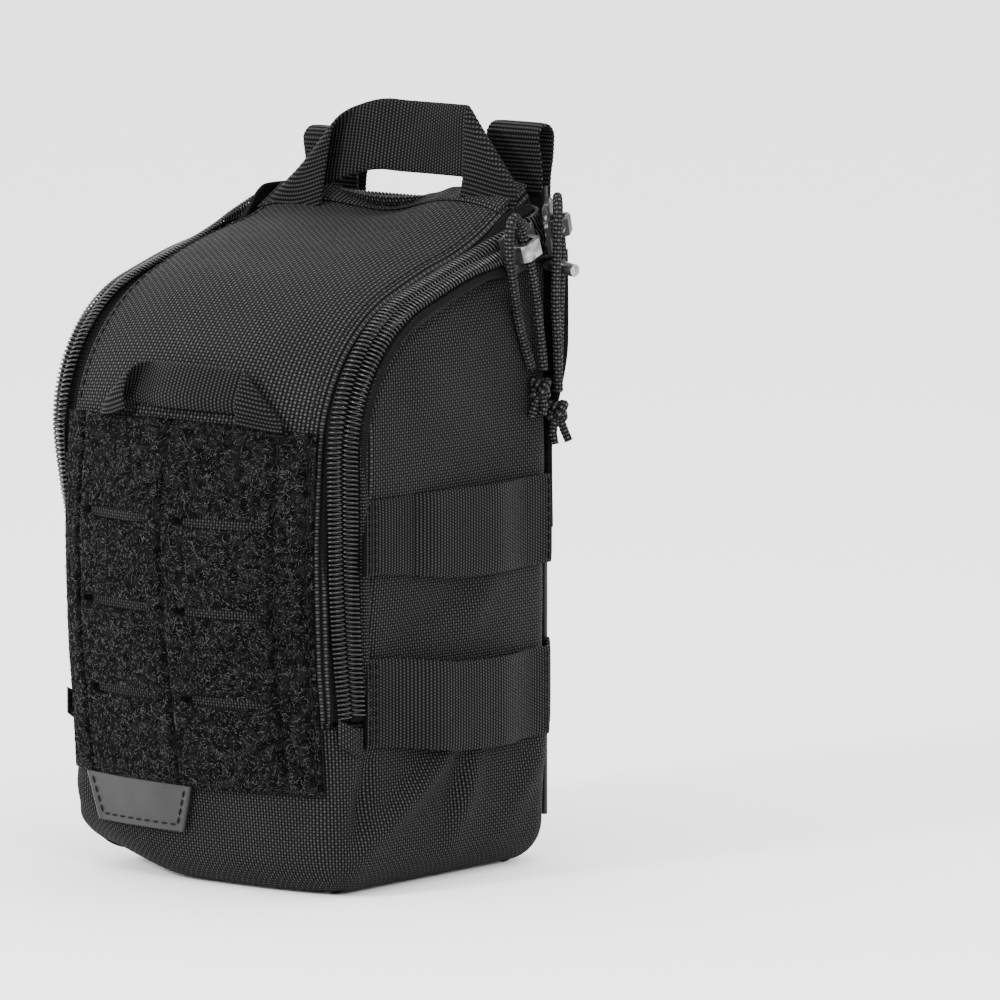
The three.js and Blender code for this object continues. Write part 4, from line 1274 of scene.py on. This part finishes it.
def make_fold_cloth():
    """The strip of cloth that bends at the fold, under the panel."""
    def point(x_share, s, k):
        turn = 2.2 * (1 - smoothstep((1 - abs(x_share)) * HALF_LID, 0, 3)) ** 2
        return lid_point(x_share * HALF_LID, s, -0.35 - turn - k * 0.8)

    thing = slab("fold_cloth", edge_shares(HALF_LID), spread(-7, 6, 26), point, "shell",
                 uv=lambda u, s: (u * HALF_LID + 60, s + 20))
    bend_at_fold(thing)


PATCH_X = -18.5
PATCH_LOW = 15.5
PATCH_HIGH = 29.2
PATCH_HALF = 17
PATCH_FLARE = 4.5


def make_patch():
    """A blank label, wider at its top, sewn down along its sides and lower edge."""
    def point(u, z, k):
        share = (z - PATCH_LOW) / (PATCH_HIGH - PATCH_LOW)
        rim = max(abs(u), abs(2 * share - 1))
        raised = 0.45 * math.exp(-((rim - 0.97) / 0.035) ** 2)
        x = PATCH_X + u * (PATCH_HALF + PATCH_FLARE * share)
        return lid_point(x, z - FOLD_Z, 0.4 + (1 - k) * (1.1 + raised))

    thing = slab("label_patch_rubber", spread(-1, 1, 60), spread(PATCH_LOW, PATCH_HIGH, 26), point, "rubber")
    place(thing, "pouch", "patch_rubber", "label_patch")
    inset, top_inset = 1.9, 2.5
    low, high = PATCH_LOW + inset, PATCH_HIGH - 1.2
    narrow, wide = PATCH_HALF - inset, PATCH_HALF + PATCH_FLARE - top_inset
    corners = [(wide, high), (narrow, low), (-narrow, low), (-wide, high)]
    runs = []
    for end, start in zip(corners, corners[1:]):
        run = []
        for share in spread(0, 1, 8):
            x, z = (a + (b - a) * share for a, b in zip(start, end))
            run.append((lid_point(PATCH_X + x, z - FOLD_Z, 1.55), mm(0, -1, 0)))
        runs.append(run)
    place(stitches("patch_stitches", runs), "pouch", "patch_rubber")


# ------------------------------------------------------------------ straps on the sides and the rear

STRAP_Z = {"lower": 50.5, "upper": 100}
# where each strap starts, how far its start is raised, and how much it is gathered there
STRAP_START = {"lower": (-36.5, 4.3, 0), "upper": (-40.5, 2.1, 0.17)}
STRAP_END = 44
STRAP_STAND = 5.4


def side_strap_spot(side, level, length, across, proud=0.0):
    z = STRAP_Z[level]
    start, raised, gathered = STRAP_START[level]
    f = length / (STRAP_END - start)
    y = start + length
    near = 1 - smoothstep(f, 0, 0.5)
    stand = STRAP_STAND * smoothstep(f, 0.08, 0.36) * smoothstep(1 - f, 0.08, 0.36)
    x = HALF_WIDTH + 1.7 + max(stand, side_swell(y, z)) - 0.9 * (1 - smoothstep(f, 0, 0.12)) + proud
    return side * x, y, z + across * (1 - gathered * near) + raised * near + 0.5 * math.sin(f * 5)


def make_side_straps():
    for label, side in (("right", 1), ("left", -1)):
        runs = []
        for level in STRAP_Z:
            node = f"side_strap_{label}_{level}"
            total = STRAP_END - STRAP_START[level][0]

            def spot(length, across, side=side, level=level):
                return side_strap_spot(side, level, length, across)

            place(strap(f"{node}_webbing", total, WIDE, 1.5, spot), "pouch", "webbing", node)
            for along in (1.4, 3.6, total - 1.4):
                runs.append([(mm(*side_strap_spot(side, level, along, across, 0.8)), mm(side, 0, 0))
                             for across in spread(-11.8, 11.8, 6)])
        place(stitches(f"side_strap_stitches_{label}", runs, 1.9, 0.6), "pouch", "webbing")


ROW_STAND = 5.3
ROW_HEIGHTS = [50.5, 100, 149.5]
STICK_X = 35
STICK_IN = BACK + 3.4
STICK_THICK = 1.8
STICK_TOP = 211
# the left stick is pushed in further, and its loop hangs lower
LEFT_DROP = 5.5


def make_rear():
    """The rear rows of webbing lie down at the middle and the ends, and stand out round the sticks."""
    half = [
        (0, 0), (12, 0), (STICK_X - 12, 0), (STICK_X - 10, 2.4),
        (STICK_X - 8, ROW_STAND - 0.2), (STICK_X, ROW_STAND), (STICK_X + 8, ROW_STAND - 0.2),
        (STICK_X + 10.3, 3.2), (STICK_X + 11.8, 0.9),
    ]
    offsets = [(-x, y) for x, y in reversed(half[1:])] + half
    for i, z in enumerate(ROW_HEIGHTS):
        node = f"back_row_{i + 1}"
        stations = [(mm(x, BACK + 1 + y, z), mm(0, 0, 1)) for x, y in offsets]
        place(ribbon(f"{node}_webbing", stations, WIDE, 1.4), "pouch", "webbing", node)
    make_stick("right", 1, 0)
    make_stick("left", -1, LEFT_DROP)


def make_stick(label, side, drop):
    body = f"stick_{label}"

    def point(w, z, k):
        thin = 0.3 * smoothstep(abs(w), 0.86, 1)
        lip = 0.25 * math.exp(-((abs(w) - 0.84) / 0.05) ** 2)
        y = STICK_IN + thin if k else STICK_IN + STICK_THICK - thin + lip
        return mm(side * STICK_X + w * NARROW / 2, y, z)

    edge = [0.8, 0.84, 0.88, 0.93, 0.97, 1]
    ws = [-w for w in reversed(edge)] + [-0.7, -0.3, 0, 0.3, 0.7] + edge
    flat = slab(f"{body}_strap", ws, spread(12, 193, 120), point, "laminate",
                uv=lambda w, z: (w * NARROW / 2 + 20, z))
    place(flat, body, "laminate", body)
    rear, front = STICK_IN + STICK_THICK + 1, STICK_IN - 1
    middle, half = (rear + front) / 2, (rear - front) / 2 + 1.6
    crown = STICK_TOP - 0.7 - half
    path = [(rear, 168 + drop), (rear, 180), (rear, 194), (rear + 1.2, 201)]
    path += [(middle + half * math.cos(a), crown + half * math.sin(a)) for a in spread(0, math.pi, 6)]
    path += [(front - 0.4, 200), (front, 195.5), (front, 190.6)]
    stations = [(mm(side * STICK_X + 0.3 * drop, y, z - drop), mm(1, 0, 0)) for y, z in path]
    place(ribbon(f"{body}_loop", stations, NARROW, 1.4), body, "webbing", f"stick_loop_{label}")
    runs = [[(mm(side * STICK_X + x, rear + 0.8, z), mm(0, 1, 0)) for x in spread(-8, 8, 6)]
            for z in (171, 174, 188)]
    place(stitches(f"{body}_stitches", runs, 1.9, 0.6), body, "webbing")


def make_end_tabs():
    for label, side in (("right", 1), ("left", -1)):
        def point(y, z, k):
            lump = 1.3 * math.sin(math.pi * (y + 46.5) / 11)
            return mm(side * (HALF_WIDTH - 0.9 + (1 - k) * (0.3 + lump)), y, z - 0.5 * (y + 44))

        tab = slab(f"zip_end_{label}", spread(-46.3, -35.7, 16), spread(43, 50.4, 10), point, "shell")
        place(tab, "pouch", "shell_cloth", f"zip_end_tab_{label}")


# ------------------------------------------------------------------ handle and front pull

def fold_gain(leg):
    """How much strap a rounded fold takes beyond a sharp one."""
    return leg[2] * (QUARTER - 1) / math.sqrt(2)


def leg_run(leg, width, base):
    return leg[1] + width / 2 - base + leg[0] + fold_gain(leg)


def folds_length(legs, width, bases):
    return sum(leg_run(leg, width, bases[side]) for side, leg in legs.items())


def two_folds(length, across, legs, width, bases):
    """A flat strap that rises at two feet, turned over diagonally at each: side, x, height, depth."""
    run = leg_run(legs[1], width, bases[1])
    side = 1 if length < run else -1
    if side < 0:
        length = folds_length(legs, width, bases) - length
    leg = legs[side]
    foot, corner, radius = leg[:3]
    x, z, depth = folded(foot + across, bases[side] + length, foot + width / 2, corner, radius)
    middle = 1 - smoothstep(abs(x), 0, foot - width / 2)
    return side, x, z - fold_gain(leg) * middle, depth * (1 - middle)


SEAM_Y = 36.9
HANDLE_LOW = 195
HANDLE_WIDE = 20.2
HANDLE_BOW = 6.0
HANDLE_LEGS = {
    # the foot's middle, the height of the fold's lower corner, the fold's openness,
    # where the lift starts and ends, and how far the leg leans in
    1: (37, 192.2, 1.1, 0, 22, 1.8),
    -1: (31.8, 186.8, 2.8, 6, 36, 0.5),
}
HANDLE_BASES = {1: 186, -1: 180.5}


def handle_spot(length, across):
    side, x, z, depth = two_folds(length, across, HANDLE_LEGS, HANDLE_WIDE, HANDLE_BASES)
    foot, corner, _, near, far, lean = HANDLE_LEGS[side]
    inside = foot - HANDLE_WIDE / 2 - abs(x)
    lift = (HANDLE_LOW - corner) * smoothstep(inside + HANDLE_WIDE, near, far)
    bow = HANDLE_BOW * smoothstep(inside, -3, foot - HANDLE_WIDE / 2)
    y = SEAM_Y + 0.6 + 0.2 * (z - corner) + bow - depth
    x -= lean * smoothstep(z - corner, 0, 19) * smoothstep(abs(x), 4, 26)
    return side * x, y, z + lift


def make_handle():
    length = folds_length(HANDLE_LEGS, HANDLE_WIDE, HANDLE_BASES)
    handle = strap("handle_webbing", length, HANDLE_WIDE, 1.5, handle_spot)
    place(handle, "handle", "webbing", "top_handle")


PULL_LOW = 85.2
PULL_LEGS = {
    # as for the handle, without the lean
    1: (30, 83.7, 0.9, 0, 16),
    -1: (19.8, 82.4, 2.7, 2, 17),
}
PULL_BASES = {1: 80.5, -1: 80.5}
# the crowned lid is this much longer here than its flat pattern
CROWN_STRETCH = 1.27
# how far the middle of the pull stands off as its folds do
MIDDLE_OPEN = 1.8


def pull_spot(length, across):
    side, x, s, depth = two_folds(length, across, PULL_LEGS, PULL_WIDE, PULL_BASES)
    foot, corner, radius, near, far = PULL_LEGS[side]
    free = smoothstep(foot + PULL_WIDE / 2 - abs(x), near, far)
    openness = radius + (MIDDLE_OPEN - radius) * free
    rise = 1.9 + openness * smoothstep(s, corner - 1, corner + 4) + 2.0 * free
    s = PANEL_TOP + (s + (PULL_LOW - corner) * free - PANEL_TOP) / CROWN_STRETCH
    return tuple(lid_point(side * x, s, max(rise + depth, 0.6)))


def make_front_pull():
    length = folds_length(PULL_LEGS, PULL_WIDE, PULL_BASES)
    pull = strap("front_pull_webbing", length, PULL_WIDE, 1.3, pull_spot)
    place(pull, "front_pull", "webbing", "front_pull")


def make_rear_hem():
    """The strip over the handle's feet, along the lid's rear edge; its front edge bows to the rear."""
    def point(x, share, k):
        start = REAR_START - 5 - 7.5 * (x / HALF_LID) ** 2
        s = start + (LID_LENGTH - 4 - start) * share
        near_foot = max(math.exp(-((x - foot) / 11) ** 4) for foot in (37, -32))
        pucker = 0.2 * math.sin(x * 0.8 + 0.7 * math.sin(x * 0.23)) * smoothstep(share, 0.1, 0.4)
        edge = smoothstep(share, 0, 0.12)
        return lid_point(x, s, 0.05 + (1 - k) * (0.25 + (0.3 + 0.6 * near_foot) * edge) + pucker)

    thing = slab("rear_hem", spread(-45.6, 45.6, 110), spread(0, 1, 20), point, "lid",
                 uv=lambda x, share: (x + 60.3, share * 13))
    place(thing, "lid", "shell_cloth")


def make_panel_tape():
    """Flat tape over the panel's top edge, between the feet of the pull."""
    thing = slab("panel_tape", spread(-14.5, 24.5, 60), spread(82.2, 86.6, 8),
                 lambda x, s, k: lid_point(x, s, 0.2 + 0.9 * (1 - k)), "lid", uv=lambda x, s: (x + 60, s))
    place(thing, "lid", "webbing")


# ------------------------------------------------------------------ sliders, tab and cords


def polished(name, node, body, bevel, bright_from=None):
    """The CAD piece with rounded edges; what is past a given point, in a given direction, is bright."""
    thing = bpy.data.objects.new(name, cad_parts[node].data.copy())
    bpy.context.scene.collection.objects.link(thing)
    thing.data.materials.clear()
    thing.data.materials.append(LOOKS["metal"])
    thing.data.materials.append(LOOKS["dark_metal"])
    edit = bmesh.new()
    edit.from_mesh(thing.data)
    bmesh.ops.remove_doubles(edit, verts=edit.verts, dist=1e-6)
    bmesh.ops.dissolve_limit(edit, angle_limit=2 * RAD, verts=edit.verts, edges=edit.edges)
    edit.to_mesh(thing.data)
    edit.free()
    if bright_from:
        origin, direction = (mm(*values) for values in bright_from)
        for face in thing.data.polygons:
            face.material_index = 0 if (face.center - origin * MM).dot(direction) > 0 else 1
    thing.data.polygons.foreach_set("use_smooth", [True] * len(thing.data.polygons))
    rounding = thing.modifiers.new("rounding", "BEVEL")
    rounding.width = bevel * MM
    rounding.segments = 3
    rounding.limit_method = "ANGLE"
    rounding.angle_limit = 25 * RAD
    rounding.harden_normals = True
    place(thing, body, "slider_metal", node)


CORD = 2.8
SIDE_CORD = [
    (55.4, 38.6, 142.4), (55.4, 37, 152), (56, 34.6, 162), (57, 31.2, 171),
    (57.1, 29.5, 175.3), (57.1, 27.8, 180), (57.1, 26, 184.6), (57.4, 23, 187.2), (57.8, 20.4, 184.6),
    (57.6, 20.4, 178), (56.9, 22.6, 169.5), (54.6, 28.6, 156), (53.8, 35, 143),
]
REAR_CORD = [
    (54.7, 45.2, 135.4), (54.5, 46.4, 144), (54.5, 46.8, 155), (54.7, 47, 167), (55, 47.2, 175.4),
    (54.9, 46.8, 180.2), (54.8, 45.8, 185), (55.4, 44.6, 189.6), (57.6, 42, 191.6), (59.8, 39.7, 188.2),
    (60, 38.9, 180), (59.7, 38.8, 171), (59.3, 39, 162), (58.2, 41.2, 150), (56.6, 43.8, 136),
]


# each knot's middle, and the ends that hang out of it, from its middle
KNOTS = {
    "side": ((54.8, 37.6, 137.2), [
        [(0.6, 0.2, -2), (1.2, 0.2, -5), (0.9, -0.2, -7.5)],
        [(-0.4, -0.4, -2), (-1, -1.4, -5), (-1.6, -2, -8)],
    ]),
    "rear": ((55.4, 44.6, 130.2), [
        [(0.6, 0.4, -2), (1.2, 2, -6), (1.8, 3, -8.6)],
        [(-0.4, -0.4, -2), (-0.4, -1.4, -6), (0.4, -1.6, -9.4)],
    ]),
}


def braid(name, points, radius):
    """A braided cord: strands cross in a herringbone round the tube."""
    def relief(length, angle):
        return 0.13 * math.sin(4 * angle + 2.6 * length) * math.sin(4 * angle - 2.6 * length) - 0.1

    return tube(name, points, radius, "cord", 16, relief)


def make_knot(label, body):
    """An overhand knot of the doubled cord, with two short ends."""
    place_of_knot, ends = KNOTS[label]
    middle = mm(*place_of_knot)
    loops = []
    for t in spread(0, 2 * math.pi, 120):
        x, z = math.sin(t) + 2 * math.sin(2 * t), math.cos(t) - 2 * math.cos(2 * t)
        loops.append(middle + mm(x, -1.5 * math.sin(3 * t), z) * 0.92)
    parts = [braid(f"{label}_cord_knot", loops, 1.35)]
    for end in ends:
        dense, _ = catmull([middle + mm(*offset) for offset in end], 0.3)
        parts.append(braid("end", dense, 1.3))
    return place(join(f"{label}_cord_knot", parts), body, "cord_nylon", f"knot_{label}")


def make_cords():
    cords = (("side", SIDE_CORD, "slider"), ("rear", REAR_CORD, "pouch"))
    knots = {label: make_knot(label, body) for label, _, body in cords}
    for label, route_points, body in cords:
        dense, _ = catmull(route_points, 0.28)
        cord = braid(f"{label}_pull_cord", dense, CORD / 2)
        place(cord, body, "cord_nylon", f"cord_{label}")


def make_metal():
    """The side slider's paint is worn off its outer face; the rear slider is painted all over."""
    polished("side_slider_metal", "slider_side", "slider", 0.35, ((56.9, 28.5, 177.8), (1, 0, 0)))
    polished("rear_slider_metal", "slider_rear", "pouch", 0.35, ((70, 60, 184), (0.68, 0.69, 0.25)))
    polished("rear_tab_metal", "tab_rear", "tab", 0.25)


# ------------------------------------------------------------------ seams


def make_seams():
    lid_runs = [[(lid_cloth_point(side * (1 - 4.4 / lid_half_width(s)), s, -0.1), lid_normal(s))
                 for s in spread(PANEL_TOP + 3, REAR_START - 2, 70)] for side in (1, -1)]
    place(stitches("lid_stitches", lid_runs), "lid", "shell_cloth")
    sunk, flush = PANEL_THICK - 1.45, PANEL_THICK - 0.2
    parts = (("panel_stitches", "lid", spread(1.5, PANEL_TOP - 1, 40), PANEL_TOP - 1.6),
             ("panel_low_stitches", "pouch", spread(PANEL_LOW + 1, -1.5, 8), PANEL_LOW + 1.4))
    for name, body, rows, cross_row in parts:
        runs = [[(panel_point(x, s, sunk), lid_normal(s)) for s in rows] for x in PANEL_SEAMS]
        normal = lid_normal(PANEL_TOP if body == "lid" else PANEL_LOW)
        runs.append([(panel_point(x, cross_row, flush), normal) for x in spread(-44, 44, 30)])
        place(stitches(name, runs), body, "loop_pile")


def dress_cad_nodes():
    """Pieces inside the pouch that have no shape of their own here keep their built one."""
    for name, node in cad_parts.items():
        if any(word in name for word in ("lining", "foam", "board", "elastic", "pocket")):
            node.data.materials.clear()
            node.data.materials.append(LOOKS["plain"])


make_camera()
make_cords()
make_studio()
make_lid_cloth()
make_zipper()
make_body_cloth()
make_base_cloth()
make_back_cloth()
make_side_rolls()
make_back_edge()
make_linings()
make_bottom_board()
make_loop_panel()
make_slot_cloth()
make_fuzz()
make_fold_cloth()
make_patch()
make_side_straps()
make_rear()
make_end_tabs()
make_handle()
make_rear_hem()
make_front_pull()
make_panel_tape()
make_metal()
make_seams()
dress_cad_nodes()
